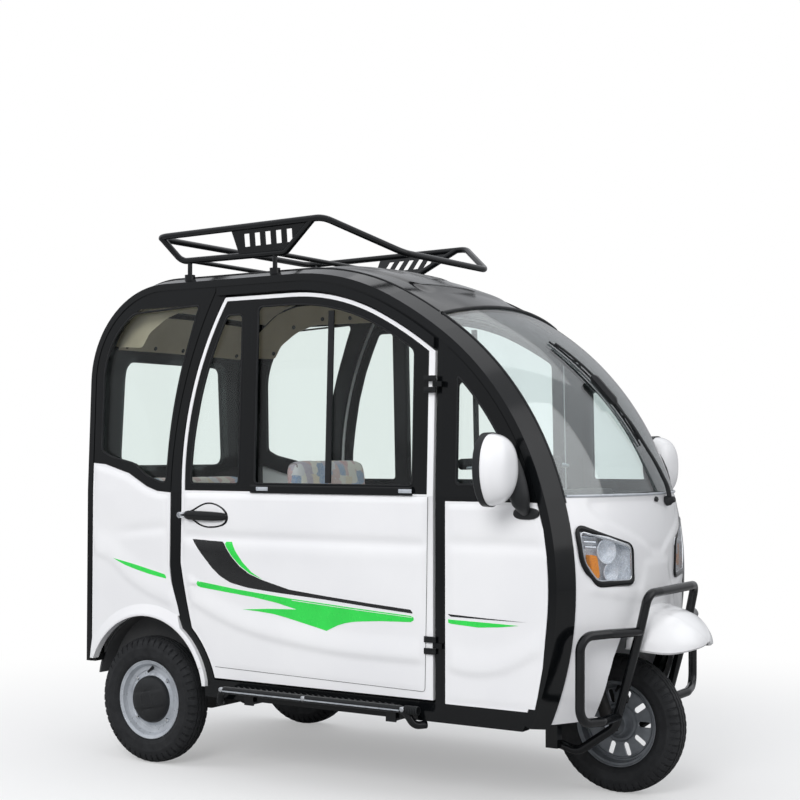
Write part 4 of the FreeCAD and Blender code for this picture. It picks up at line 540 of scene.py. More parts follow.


# The finish of every node of the frame, also of those that a piece replaces in the view.
NODE_FINISH = {
    "enamel_white": ("rear_quarter_panels", "front_quarter_panels", "rear_panel", "front_cowl",
                     "front_mudguard", "door_panel_right", "door_panel_left", "mirrors"),
    "enamel_black": ("side_frame_right", "side_frame_left", "rear_window_surrounds",
                     "front_window_surrounds", "roof_panel", "rear_window_frame",
                     "door_window_frame_right", "door_window_frame_left"),
    "tube_black": ("rear_bumper", "front_guard", "roof_rack", "side_steps", "handlebar"),
    "moulded_black": ("dashboard", "wiper", "door_handle_right", "door_handle_left", "battery_pack"),
    "casting": ("chassis_frame", "rear_axle", "leaf_springs", "front_fork"),
    "glass_clear": ("quarter_glass", "rear_glass", "door_glass_right", "door_glass_left"),
    "screen_glass": ("windscreen",),
    "lens_clear": ("headlamp_lenses",),
    "lens_red": ("tail_lamps",),
    "reflector": ("headlamp_housings",),
    "chrome": ("mirror_glass",),
    "rubber": ("front_tyre", "rear_tyre_right", "rear_tyre_left"),
    "steel_grey": ("front_wheel",),
    "steel_silver": ("rear_wheel_right", "rear_wheel_left"),
    "lining": ("headliner",),
    "mat_grey": ("floor_pan", "driver_seat_base", "rear_bench_base"),
    "patchwork": ("driver_seat", "rear_bench"),
}


class TricycleSizes(bpy.types.PropertyGroup):
    tread_blocks: bpy.props.IntProperty(
        name="Tread Blocks", description="Blocks round each tread rib", default=56, min=20, max=90)
    stripe_lift: bpy.props.FloatProperty(
        name="Stripe Lift", description="How far the cut vinyl stands off the paint",
        default=0.0006, unit="LENGTH")


class TricycleColours(bpy.types.PropertyGroup):
    floor: bpy.props.FloatVectorProperty(
        name="Floor", description="Studio floor colour", subtype="COLOR", default=(0.86, 0.86, 0.86))


# The stage, in metres and degrees. The floor fades to plain white between two distances.
FLOOR_HALF = 14.0
FADE_START, FADE_END = 1.1, 3.4
UNSEEN_FLOOR = 0.42  # share of the floor's colour that light bounces off
LAMPS = (
    # name, place, size, power, aim, shows in the panes
    ("key_lamp", (1.7, -5.0, 3.2), 2.0, 144, (0.0, 0.0, 0.8), False),
    ("side_lamp", (-4.2, -3.4, 2.8), 2.6, 60, (0.0, 0.0, 0.8), False),
    ("nose_lamp", (5.0, 0.2, 3.4), 4.6, 50, (0.6, 0.0, 0.7), True),
    ("top_lamp", (0.0, 1.6, 5.2), 4.2, 26, (0.0, 0.0, 1.0), True),
)
CAMERA_PLACE = (2.7584, -4.3854, 1.0610)
CAMERA_HEADING, CAMERA_PITCH = 32.641, 2.014
CAMERA_LENS, CAMERA_SENSOR = 67.72, 36.0  # millimetres


class StageOperator(bpy.types.Operator):
    """Lay the floor, hang the lamps and set the camera"""

    bl_idname = "tricycle.stage"
    bl_label = "Stage"

    def execute(self, context):
        scene = context.scene
        scene.view_settings.view_transform = "Standard"
        self.floor(scene)
        self.lamps(scene)
        self.world(scene)
        self.camera(scene)
        return {"FINISHED"}

    def floor(self, scene):
        material, tree, out = blank("studio floor")
        seen = node(tree, "ShaderNodeLightPath")
        pale = scene.tricycle_colours.floor
        shade = node(tree, "ShaderNodeMix", {"data_type": "RGBA"})
        shade.inputs[6].default_value = tuple(c * UNSEEN_FLOOR for c in pale) + (1.0,)
        shade.inputs[7].default_value = tuple(pale) + (1.0,)
        tree.links.new(seen.outputs["Is Camera Ray"], shade.inputs[0])
        shader = node(tree, "ShaderNodeBsdfPrincipled", {"Roughness": 0.9},
                      {"Base Color": shade.outputs[2]})
        glow = node(tree, "ShaderNodeEmission", {"Color": (1, 1, 1, 1), "Strength": 1.0})
        reach = node(tree, "ShaderNodeVectorMath", {"operation": "LENGTH"}, {0: place_of(tree)})
        far = node(tree, "ShaderNodeMapRange",
                   {"From Min": FADE_START, "From Max": FADE_END, "To Min": 0.35, "To Max": 1.0,
                    "interpolation_type": "SMOOTHSTEP"}, {"Value": reach.outputs["Value"]})
        amount = node(tree, "ShaderNodeMath", {"operation": "MULTIPLY"},
                      {0: far.outputs[0], 1: seen.outputs["Is Camera Ray"]})
        show = node(tree, "ShaderNodeMixShader", None,
                    {0: amount.outputs[0], 1: shader.outputs[0], 2: glow.outputs[0]})
        tree.links.new(show.outputs[0], out.inputs["Surface"])
        mesh = bpy.data.meshes.new("floor")
        corners = [(x * FLOOR_HALF, y * FLOOR_HALF, 0) for x, y in ((-1, -1), (1, -1), (1, 1), (-1, 1))]
        mesh.from_pydata(corners, [], [(0, 1, 2, 3)])
        mesh.materials.append(material)
        plane = bpy.data.objects.new("floor", mesh)
        scene.collection.objects.link(plane)

    def lamps(self, scene):
        for name, place, size, power, aim, mirrored in LAMPS:
            light = bpy.data.lights.new(name, "AREA")
            light.shape = "SQUARE"
            light.size = size
            light.energy = power
            lamp = bpy.data.objects.new(name, light)
            lamp.location = place
            lamp.visible_glossy = mirrored
            lamp.rotation_euler = (Vector(aim) - Vector(place)).to_track_quat("-Z", "Y").to_euler()
            scene.collection.objects.link(lamp)

    def world(self, scene):
        world = scene.world or bpy.data.worlds.new("studio")
        scene.world = world
        world.use_nodes = True
        tree = world.node_tree
        tree.nodes.clear()
        path = node(tree, "ShaderNodeLightPath")
        straight = node(tree, "ShaderNodeMath", {"operation": "MAXIMUM"},
                        {0: path.outputs["Is Camera Ray"], 1: path.outputs["Is Transmission Ray"]})
        place = node(tree, "ShaderNodeTexCoord").outputs["Generated"]
        up = node(tree, "ShaderNodeSeparateXYZ", None, {0: place}).outputs["Z"]
        sky = node(tree, "ShaderNodeMapRange",
                   {"From Min": -0.15, "From Max": 0.6, "To Min": 0.42, "To Max": 0.8},
                   {"Value": up}).outputs[0]
        soft = node(tree, "ShaderNodeBackground", {"Color": linear("#F2F4F8")}, {"Strength": sky})
        seen = node(tree, "ShaderNodeBackground", {"Color": (1, 1, 1, 1), "Strength": 1.0})
        mix = node(tree, "ShaderNodeMixShader", None,
                   {0: straight.outputs[0], 1: soft.outputs[0], 2: seen.outputs[0]})
        out = node(tree, "ShaderNodeOutputWorld")
        tree.links.new(mix.outputs[0], out.inputs["Surface"])

    def camera(self, scene):
        data = bpy.data.cameras.new("camera")
        data.sensor_width = CAMERA_SENSOR
        data.lens = CAMERA_LENS
        camera = bpy.data.objects.new("camera", data)
        camera.location = CAMERA_PLACE
        heading, pitch = math.radians(CAMERA_HEADING), math.radians(CAMERA_PITCH)
        ahead = math.cos(pitch)
        view = Vector((-math.sin(heading) * ahead, math.cos(heading) * ahead, math.sin(pitch)))
        camera.rotation_euler = view.to_track_quat("-Z", "Y").to_euler()
        scene.collection.objects.link(camera)
        scene.camera = camera


class FinishOperator(bpy.types.Operator):
    """Give every carried-over node its finish"""

    bl_idname = "tricycle.finishes"
    bl_label = "Finishes"

    def execute(self, context):
        make_finishes()
        for finish, names in NODE_FINISH.items():
            for name in names:
                obj = NODES[name]
                obj.data.materials.clear()
                obj.data.materials.append(FINISH[finish])
                obj.data.polygons.foreach_set("use_smooth", [True] * len(obj.data.polygons))
                obj.data.set_sharp_from_angle(angle=math.radians(24))
        return {"FINISHED"}


# Surfaces of the body.
def table_at(table, value):
    """Smooth value between the rows of an ascending (place, value) table."""
    if value <= table[0][0]:
        return table[0][1]
    if value >= table[-1][0]:
        return table[-1][1]
    for i in range(len(table) - 1):
        if value <= table[i + 1][0]:
            break
    (x1, y1), (x2, y2) = table[i], table[i + 1]
    x0, y0 = table[i - 1] if i else (2 * x1 - x2, 2 * y1 - y2)
    x3, y3 = table[i + 2] if i + 2 < len(table) else (2 * x2 - x1, 2 * y2 - y1)
    span = x2 - x1
    t = (value - x1) / span
    m1, m2 = span * (y2 - y0) / (x2 - x0), span * (y3 - y1) / (x3 - x1)
    return ((2 * t ** 3 - 3 * t ** 2 + 1) * y1 + (t ** 3 - 2 * t ** 2 + t) * m1
            + (3 * t ** 2 - 2 * t ** 3) * y2 + (t ** 3 - t ** 2) * m2)


def bow(half, crown, y):
    """Height of an arc through (-half, 0), (0, crown), (half, 0) at y."""
    radius = (half * half + crown * crown) / (2 * crown)
    return math.sqrt(max(0.0, radius * radius - y * y)) - (radius - crown)


def cut_by_lattice(loops, step_u, step_v):
    """Fills flat loops of (u, v), the first outside and the rest holes, and divides them by a
    lattice. Gives the places and the faces."""
    work = bmesh.new()
    points = [Vector((u, v, 0)) for loop in loops for u, v in loop]
    made = [work.verts.new(p) for p in points]
    for corners in tessellate_polygon([[Vector((u, v, 0)) for u, v in loop] for loop in loops]):
        if len(set(corners)) == 3:
            work.faces.new([made[i] for i in corners])
    steps = (step_u, step_v)
    for axis, step in enumerate(steps):
        low = math.floor(min(p[axis] for p in points) / step) + 1
        high = math.ceil(max(p[axis] for p in points) / step)
        direction = Vector((1 - axis, axis, 0))
        for i in range(low, high):
            bmesh.ops.bisect_plane(work, geom=work.verts[:] + work.edges[:] + work.faces[:], dist=1e-4,
                                   plane_co=direction * (i * step), plane_no=direction)

    def cell(face):
        middle = face.calc_center_median()
        return tuple(math.floor(middle[axis] / steps[axis]) for axis in (0, 1))

    inner = [e for e in work.edges if len(e.link_faces) == 2
             and cell(e.link_faces[0]) == cell(e.link_faces[1])]
    bmesh.ops.dissolve_edges(work, edges=inner, use_verts=True)
    work.verts.index_update()
    places = [(v.co.x, v.co.y) for v in work.verts]
    faces = [[v.index for v in f.verts] for f in work.faces]
    work.free()
    return places, faces


def sheet_between(loops, steps, outer, inner):
    """A closed thin skin over flat loops: outer and inner map (u, v) to places."""
    places, faces = cut_by_lattice(loops, *steps)
    count = len(places)
    build = Build()
    verts = [outer(u, v) for u, v in places] + [inner(u, v) for u, v in places]
    edges = {}
    for face in faces:
        for a, b in zip(face, face[1:] + face[:1]):
            edges[(a, b)] = edges.get((a, b), 0) + 1
    walls = [(b, a, count + a, count + b) for a, b in edges if (b, a) not in edges]
    back = [tuple(count + i for i in reversed(face)) for face in faces]
    return build.add(verts, [tuple(face) for face in faces] + back + walls)


def edge_distance(loop, u, v):
    """Distance from a place to the nearest edge of a flat loop."""
    best = 1e9
    for (au, av), (bu, bv) in zip(loop, loop[1:] + loop[:1]):
        run, rise = bu - au, bv - av
        t = max(0.0, min(1.0, ((u - au) * run + (v - av) * rise) / (run * run + rise * rise)))
        best = min(best, math.hypot(u - au - t * run, v - av - t * rise))
    return best


def bump_at(value, place, width):
    """1 at a place, and a soft fall to either side."""
    return math.exp(-((value - place) / width) ** 2)


def ridge_at(z, crease, above=70.0, below=26.0):
    """A crease that rises slowly from above and falls quickly below it."""
    if z >= crease:
        return 1 - soft_step(crease, crease + above, z)
    return 1 - soft_step(0, below, crease - z)


DOOR_LOOP = [(163, 927), (160, 694), (182, 590), (210, 482), (242, 449), (270, 410), (304, 352),
             (1121, 338), (1127, 640), (1131, 927)]
DOOR_CREASE = ((160, 590), (220, 562), (364, 508), (500, 477), (717, 450), (883, 441), (1131, 440))
REAR_LOOP = [(-249, 360), (-249, 1016), (-203, 1012), (-91, 982), (-6, 937), (42, 922), (92, 918),
             (90, 684), (114, 606), (136, 545), (146, 512), (113, 503), (104, 500), (64, 508), (0, 512),
             (-64, 508), (-104, 500), (-150, 470), (-190, 430), (-222, 384), (-232, 360)]
REAR_CREASE = ((-249, 722), (-170, 700), (-102, 648), (-20, 604), (61, 575), (120, 560), (146, 556))
FRONT_LOOP = [(1199, 318), (1199, 908), (1502, 908), (1523, 840), (1534, 760), (1536, 680), (1532, 560),
              (1520, 440), (1504, 360), (1494, 318)]
FRONT_CREASE = ((1199, 427), (1287, 415), (1383, 429), (1450, 458), (1511, 495), (1536, 510))


EDGE_PROUD = 0.5
EDGE_FADE = 14.0
WAIST_PRESS = 782.0  # height of the groove under the door handles


def pressed(loop, x, z, shape, gain):
    """How proud a pressed panel stands: its shape, flat near its edge."""
    fade = soft_step(0, EDGE_FADE, edge_distance(loop, x, z))
    return EDGE_PROUD + fade * max(0.0, shape) * gain


def door_relief(x, z):
    lower = table_at(DOOR_CREASE, x)
    shape = 4.2 - 3.6 * bump_at(z, WAIST_PRESS, 17) + 0.7 * bump_at(z, 735, 22)
    if z > lower + 70:
        shape -= 3.0 * (1 - soft_step(lower + 70, lower + 71, z))
        shape = lerp(0.8, shape, soft_step(lower + 60, lower + 190, z))
    elif z < 620:
        shape -= 3.4 * (1 - ridge_at(z, lower))
    return pressed(DOOR_LOOP, x, z, shape, 1.6)


def rear_relief(x, z):
    crease = table_at(REAR_CREASE, x)
    shape = 1.2 + 3.4 * ridge_at(z, crease, 90, 30) + 2.4 * soft_step(crease + 60, crease + 220, z)
    shape -= 2.6 * bump_at(z, 800 + 0.1 * x, 18) * soft_step(-180, -60, x)
    return pressed(REAR_LOOP, x, z, shape, 1.5)


def front_relief(x, z):
    crease = table_at(FRONT_CREASE, x)
    shape = 1.0 + 3.2 * ridge_at(z, crease, 80, 26) + 3.0 * soft_step(crease + 60, crease + 200, z)
    shape -= 3.2 * bump_at(z, 790, 18)
    return pressed(FRONT_LOOP, x, z, shape, 1.5)


ZONES = {"door": door_relief, "rear": rear_relief, "front": front_relief}
LATTICE = (16.0, 8.0)


def side_skin(zone, side, loops, lift, depth):
    """A skin on a side panel that follows its pressed relief."""
    relief = ZONES[zone]

    def outer(x, z):
        return side_place(side, x, z, relief(x, z) + lift)

    def inner(x, z):
        return side_place(side, x, z, relief(x, z) + lift - depth if lift else -1.0)

    return sheet_between(loops, LATTICE, outer, inner)


class SidePanelsOperator(bpy.types.Operator):
    """Press the relief into the white doors and side panels"""

    bl_idname = "tricycle.side_panels"
    bl_label = "Side Panels"

    def execute(self, context):
        for side, word in SIDES:
            door = "door_" + word
            for zone, loop, body in (("door", DOOR_LOOP, door), ("rear", REAR_LOOP, "body"),
                                     ("front", FRONT_LOOP, "body")):
                side_skin(zone, side, [loop], 0.0, 0.0).make(
                    zone + "_pressing_" + word, "enamel_white", body, crease=30)
            hem = rounded_line([side_place(side, x, z, 0.4) for x, z in DOOR_LOOP[6:]], 0.012)
            Build().tube(hem, 0.0008, 8).make("door_hem_" + word, "seal", door)
            self.arch_lip(side, word)
        return {"FINISHED"}

    def arch_lip(self, side, word):
        """The rolled edge of the wheel arch, an arc about a point above the axle."""
        middle = 245
        # radius of the arc, how far it stands off the side
        section = ((258, 11.5), (258, 13.5), (261, 14.8), (266, 14.2), (271, 12.5), (270, 10))
        rows = []
        for degrees in steps_between(22, 158, 48):
            turn = math.radians(degrees)
            rows.append([spot(r * math.cos(turn), side * (HALF_WIDTH + out), middle + r * math.sin(turn))
                         for r, out in section])
        Build().ring(rows).make("arch_bead_" + word, "enamel_white", crease=50)


STRIPES = (
    # zone, finish, outline
    ("door", "vinyl_black",
     [(205, 772), (340, 767), (352, 748), (378, 716), (410, 688), (450, 665), (503, 648), (613, 622),
      (760, 608), (930, 594), (1079, 583), (1079, 572), (930, 583), (760, 597), (546, 611), (440, 620),
      (370, 633), (325, 653), (290, 680), (245, 726)]),
    ("door", "vinyl_green",
     [(343, 767), (375, 768), (392, 738), (420, 704), (458, 672), (503, 650), (452, 667), (412, 690),
      (380, 718), (355, 748)]),
    ("door", "vinyl_green",
     [(226, 632), (400, 612), (613, 594), (850, 578), (1083, 564), (1083, 546), (960, 542), (870, 535),
      (830, 528), (800, 519), (757, 499), (715, 508), (660, 519), (600, 531), (547, 540), (485, 545),
      (420, 548), (530, 556), (641, 560), (560, 577), (469, 590), (340, 602), (227, 613)]),
    ("front", "vinyl_black",
     [(1204, 578), (1330, 573), (1470, 568), (1330, 569), (1204, 571)]),
    ("front", "vinyl_green",
     [(1204, 562), (1330, 560), (1444, 557), (1380, 549), (1309, 544), (1204, 550)]),
    ("rear", "vinyl_green",
     [(-152, 695), (-60, 678), (20, 661), (86, 647), (88, 634), (20, 645), (-40, 658), (-100, 674)]),
)


class StripesOperator(bpy.types.Operator):
    """Lay the cut vinyl stripes along the sides"""

    bl_idname = "tricycle.stripes"
    bl_label = "Stripes"

    def execute(self, context):
        lift = context.scene.tricycle_sizes.stripe_lift / MM
        for side, word in SIDES:
            for i, (zone, finish, outline) in enumerate(STRIPES):
                body = "door_" + word if zone == "door" else "body"
                film = side_skin(zone, side, [outline], lift, lift * 0.9)
                film.make("stripe_%s_%d_%s" % (zone, i, word), finish, body, crease=20)
            # A thin white film along the green stripe: a painted highlight, the glint along its edge.
            glint = [(620, 590), (850, 574), (1078, 561), (1078, 559.4), (850, 572.4), (620, 588)]
            film = side_skin("door", side, [glint], lift * 1.8, lift * 0.5)
            film.make("stripe_painted_glint_" + word, "enamel_white", "door_" + word)
        return {"FINISHED"}


# The nose.
COWL_CROWN = ((264, 108), (380, 115), (500, 100), (662.5, 80), (800, 92), (932, 109))
COWL_FOOT, COWL_TOP = 264, 932
INSET = 410.0
SKIN_HALF = INSET - 0.6  # half the width of the nose, roof and tail skins at the belt
LAMP = ((-392, 846), (-165, 786), (-158, 668), (-330, 672), (-384, 735))


def outline_front(z):
    """X of the nose or apron at a height."""
    x, middle, radius = ARCS["nose" if z >= NOSE_Z else "apron"][:3]
    return x + math.sqrt(radius ** 2 - (z - middle) ** 2)


def cowl_place(y, z, out=0.0):
    """A place on the crowned nose, so many millimetres out from it."""
    edge = outline_front(z) - 4
    rise = bow(INSET - 0.4, table_at(COWL_CROWN, z) + 4, y)
    slope = y / (INSET ** 2 / (2 * table_at(COWL_CROWN, z)) + 40)
    return Vector(((edge + rise + out) * MM, (y + out * slope) * MM, z * MM))


def cowl_relief(y, z):
    """The bonnet's recess, which narrows to a point above the middle, the creases to either side
    and the raised stem over the beak."""
    y = abs(y)
    half = lerp(40, 330, soft_step(740, 905, z))
    shape = -4.5 * (1 - soft_step(half - 14, half + 14, y)) * plateau(735, 765, 915, 930, z)
    shape += 3.0 * ridge_at(z, 600 + 0.16 * y, 40, 18) * plateau(60, 120, 330, 390, y)
    stem = 90 + 0.5 * max(0.0, 700 - z)
    shape += 3.5 * (1 - soft_step(stem - 14, stem + 14, y)) * plateau(560, 600, 712, 742, z)
    return shape


def grow_loop(loop, distance):
    """A flat loop with each corner moved outward."""
    area = sum(a[0] * b[1] - b[0] * a[1] for a, b in zip(loop, loop[1:] + loop[:1]))
    turn = 1 if area > 0 else -1
    made = []
    for i, at in enumerate(loop):
        before, after = Vector(loop[i - 1]), Vector(loop[(i + 1) % len(loop)])
        here = Vector(at)
        a, b = (here - before).normalized(), (after - here).normalized()
        na, nb = Vector((a.y, -a.x)) * turn, Vector((b.y, -b.x)) * turn
        push = (na + nb) / max(0.3, 1 + na.dot(nb))
        made.append(tuple(here + push * distance))
    return made


def round_flat(loop, radius, steps=5):
    """A flat loop with each corner rounded."""
    return [(p.x, p.y) for p in round_loop([Vector((u, v, 0)) for u, v in loop], radius, steps)]


def lamp_loop(side, grow=0.0, radius=26):
    """The headlamp's outline on one side, grown by some millimetres."""
    loop = [(-side * y, z) for y, z in LAMP]
    return round_flat(grow_loop(loop, grow), radius)


class NoseOperator(bpy.types.Operator):
    """Shape the white nose and the beak over the front wheel"""

    bl_idname = "tricycle.nose"
    bl_label = "Nose and Mudguard"

    def execute(self, context):
        wide = SKIN_HALF
        arch = [(262, COWL_FOOT), (262, 395), (252, 450), (225, 512), (190, 520), (-190, 520), (-225, 512),
                (-252, 450), (-262, 395), (-262, COWL_FOOT)]
        outside = [(-wide, COWL_FOOT), (-wide, 500), (-wide, COWL_TOP), (0, COWL_TOP), (wide, COWL_TOP),
                   (wide, 500), (wide, COWL_FOOT)] + arch
        loops = [outside, lamp_loop(-1, 1.2), lamp_loop(1, 1.2)]
        build = sheet_between(loops, (12.0, 9.0), lambda y, z: cowl_place(y, z, cowl_relief(y, z)),
                              lambda y, z: cowl_place(y, z, -8.0))
        cowl = build.make("nose_cowl", "enamel_white", crease=32)
        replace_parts(cowl, "front_cowl")
        self.beak()
        edge = [cowl_place(y, COWL_TOP + 2, 1.5) for y in range(-400, 401, 8)]
        Build().tube(edge, 0.0042, 10).make("windscreen_seal", "steel_silver")
        return {"FINISHED"}

    def beak(self):
        """The beak over the front wheel: rounded sections from a table, each closed by its inside."""
        rows = []
        # forward of the front axle, half width, top, foot
        table = ((98, 168, 604, 474), (160, 158, 592, 466), (226, 138, 570, 462), (266, 100, 536, 468),
                 (282, 70, 514, 473), (290, 44, 499, 476), (294, 14, 484, 479))
        halves, highs, lows = ([(row[0], row[i]) for row in table] for i in (1, 2, 3))
        spots = [98, 112, 126, 140, 154, 168, 182, 196, 210, 222, 234, 246, 256, 266, 274, 280, 284, 288,
                 291, 293, 294]
        for x in spots:
            half, high, low = table_at(halves, x), table_at(highs, x), table_at(lows, x)
            row = []
            for t in steps_between(-math.pi / 2, math.pi / 2, 32):
                y = half * math.sin(t)
                z = low + (high - low) * bow(1.0, 1.0, abs(math.sin(t))) ** 0.92
                z += 3.0 * bump_at(abs(y), half * 0.55, 9) * soft_step(98, 150, x)
                row.append(Vector((front(x), y * MM, z * MM)))
            rows.append(row)
        inner = [[v + Vector((-0.006, -v.y * 0.03, -0.006)) for v in row] for row in rows]
        beak = closed_strip(rows, inner).make("front_beak", "enamel_white", "body", "white_plastic",
                                              crease=40)
        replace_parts(beak, "front_mudguard")


BOWL = ((-24, 9), (-22, 14), (-17, 21), (-10, 27), (-3, 31), (2, 34), (5, 36), (4, 38), (-2, 36), (-12, 30),
        (-20, 22), (-26, 14), (-27, 9))
BOWL_RADIUS = 35
BULB = ((-24, 0), (-24, 7), (-8, 7), (-5, 5), (-3, 0))
AMBER = ((347, 762), (317, 757), (306, 692), (326, 689), (339, 712))


class HeadlampsOperator(bpy.types.Operator):
    """Fit the bowls, indicator and bezel of each headlamp"""

    bl_idname = "tricycle.headlamps"
    bl_label = "Headlamps"

    def execute(self, context):
        for side, word in SIDES:
            self.bowls(side, word)
            amber = round_flat([(side * y, z) for y, z in AMBER], 7)
            self.plate(amber, 10.0, lambda y, z: -6, -22).make("indicator_" + word, "lens_amber")
            self.louvres(side, word)
            self.bezel(side, word)
            trim = [cowl_place(y, z, 2.0) for y, z in lamp_loop(side, -11, 18)]
            Build().tube(trim, 0.003, 8, closed=True).make("lamp_trim_" + word, "chrome")
            # The back plate takes the bowls' finish, whose pale colour is a painted reflection.
            back = self.plate(lamp_loop(side, -10.0, 20), 9.0,
                              lambda y, z: -30 - 2.5 * math.cos(y * 0.35) * math.cos(z * 0.35), -38)
            back.make("lamp_back_" + word, "reflector")
        return {"FINISHED"}

    def plate(self, loop, step, face, back):
        """A thin block behind the lens: face and back are distances off the cowl."""
        return sheet_between([loop], (step, step), lambda y, z: cowl_place(y, z, face(y, z)),
                             lambda y, z: cowl_place(y, z, back))

    def bowls(self, side, word):
        """The two bowls and their bulbs, which look forward and a little outward."""
        axis = Vector((1, side * 0.42, 0.05))
        for i, (y, z, radius) in enumerate(((272, 768, 35), (252, 704, 27))):
            centre = cowl_place(side * y, z, -13)
            bowl = Build().lathe(centre, axis, BOWL, 40, radius / BOWL_RADIUS * MM)
            # The bowls' pale colour is a painted reflection in place of their mirror shine.
            bowl.make("lamp_bowl_%s_%d" % (word, i), "reflector", crease=45)
            bulb = Build().lathe(centre, axis, BULB, 16, MM)
            bulb.make("lamp_bulb_%s_%d" % (word, i), "lens_clear")

    def louvres(self, side, word):
        """Four bright bars in the lamp's tall outer corner."""
        bars = Build()
        for i in range(4):
            z = 781 + 15 * i
            outer, inner = cowl_place(side * (358 + i * 3), z + 3, -12), cowl_place(side * 316, z, -12)
            bars.tube([outer, inner], 0.0042, 8)
        bars.make("lamp_louvres_" + word, "chrome")

    def bezel(self, side, word):
        """The black frame, broad along the outer and lower edges and thin elsewhere."""
        loop = lamp_loop(side, -1.5)
        rim = [cowl_place(y, z, 2.5) for y, z in loop]
        out = Vector((1, side * 0.3, 0)).normalized()
        rows = []
        for i, at in enumerate(rim):
            y, z = loop[i]
            wide = 0.0072 * max(soft_step(335, 365, abs(y)), 1 - soft_step(672, 700, z)) + 0.0026
            along = (rim[(i + 1) % len(rim)] - rim[i - 1]).normalized()
            across = along.cross(out).normalized()
            rows.append([at + across * c * wide + out * s * 0.0045 for c, s in circle(10)])
        build = Build().ring(rows, closed_ends=True)
        build.make("lamp_bezel_" + word, "enamel_black", "body", "black_plastic")


# The roof and the screens.
def strip_rows(spots, across, place):
    """Rows of places across, one for each spot along."""
    return [[place(spot, t) for t in across] for spot in spots]


def closed_strip(outer, inner):
    """A closed shell from two stacks of rows."""
    return Build().ring([a + b[::-1] for a, b in zip(outer, inner)])


# The lengths of the roof's stretches along its outline, from behind.
TAIL = (TAIL_X + TAIL_R, ROOF_Z - TAIL_R)
TAIL_BEND = TAIL_R * math.radians(40)
ROOF_FLAT = FLAT_END - TAIL[0]
ROOF_RUN = TAIL_BEND + ROOF_FLAT + ROOF_R * math.radians(90 - ROOF_END) + BROW_R * math.radians(5.7)


def over_roof(run, offset):
    """A place (x, z) along the roof by its run, which starts where the tail's normal is at 130 degrees."""
    if run < TAIL_BEND:
        turn = math.radians(130) - run / TAIL_R
        return (TAIL[0] + (TAIL_R + offset) * math.cos(turn), TAIL[1] + (TAIL_R + offset) * math.sin(turn))
    if run < TAIL_BEND + ROOF_FLAT:
        return TAIL[0] + run - TAIL_BEND, ROOF_Z + offset
    angle = 90 - math.degrees((run - TAIL_BEND - ROOF_FLAT) / ROOF_R)
    if angle >= ROOF_END:
        return on_outline(angle, offset)
    extra = (ROOF_END - angle) * ROOF_R / BROW_R
    return on_outline(ROOF_END - extra, offset)


ROOF_CROWNS = ((0, 14), (120, 18), (247, 20), (1050, 24), (1250, 32), (1450, 44), (1650, 50))


def roof_relief(run, y):
    """The raised middle of the roof with its ribs, which end in steps above the windscreen."""
    end = ROOF_RUN - 120
    pad = (1 - soft_step(262, 300, abs(y))) * plateau(60, 130, end - 60, end, run)
    ribs = 0.0
    for middle in (-210, -126, -42, 42, 126, 210):
        stop = end - 130 - 0.5 * abs(middle)
        ribs += (1 - soft_step(19, 27, abs(y - middle))) * plateau(190, 230, stop - 30, stop, run)
    brow = (1 - soft_step(180, 300, abs(y))) * plateau(1130, 1200, 1335, 1372, run)
    return 7.0 * pad + 5.0 * ribs + 2.4 * brow


class RoofOperator(bpy.types.Operator):
    """Shape the black roof skin and its ribs"""

    bl_idname = "tricycle.roof"
    bl_label = "Roof"

    def execute(self, context):
        runs = steps_between(0, ROOF_RUN, 130)
        across = steps_between(-1, 1, 96)

        def place(run, t, drop):
            z = over_roof(run, 0)[1]
            half = SKIN_HALF - lean(z)
            crown = table_at(ROOF_CROWNS, run)
            y = half * t
            x, z = over_roof(run, -5 - drop + bow(half, crown, y) + (0 if drop else roof_relief(run, y)))
            return Vector((x * MM, y * MM, z * MM))

        outer = strip_rows(runs, across, lambda run, t: place(run, t, 0))
        inner = strip_rows(runs, across, lambda run, t: place(run, t, 8))
        roof = closed_strip(outer, inner).make("roof_skin", "enamel_black", crease=30)
        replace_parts(roof, "roof_panel")
        for side, word in SIDES:
            bead = [place(run, side * 0.998, -2) for run in runs[::2]]
            Build().tube(bead, 0.0035, 8).make("roof_seal_" + word, "seal")
        return {"FINISHED"}


def screen_half(angle):
    """Half the windscreen's width at a normal's angle."""
    return INSET - 0.8 - lean(on_outline(angle)[1])


def screen_place(angle, t, offset):
    """A place on the windscreen at a normal's angle and a share of its half width. Its crown
    across eases from the cowl's to the roof's."""
    y = screen_half(angle) * t
    crown = 104 - 53 * ((angle - 12) / 44.8) ** 1.6
    x, z = on_outline(angle, offset + bow(screen_half(angle), crown, y))
    return Vector((x * MM, y * MM, z * MM))


SCREEN_TOP, SCREEN_FOOT = 56.8, 14.9  # angles of the normal
SCREEN_FACE, SCREEN_BACK = -4, -9


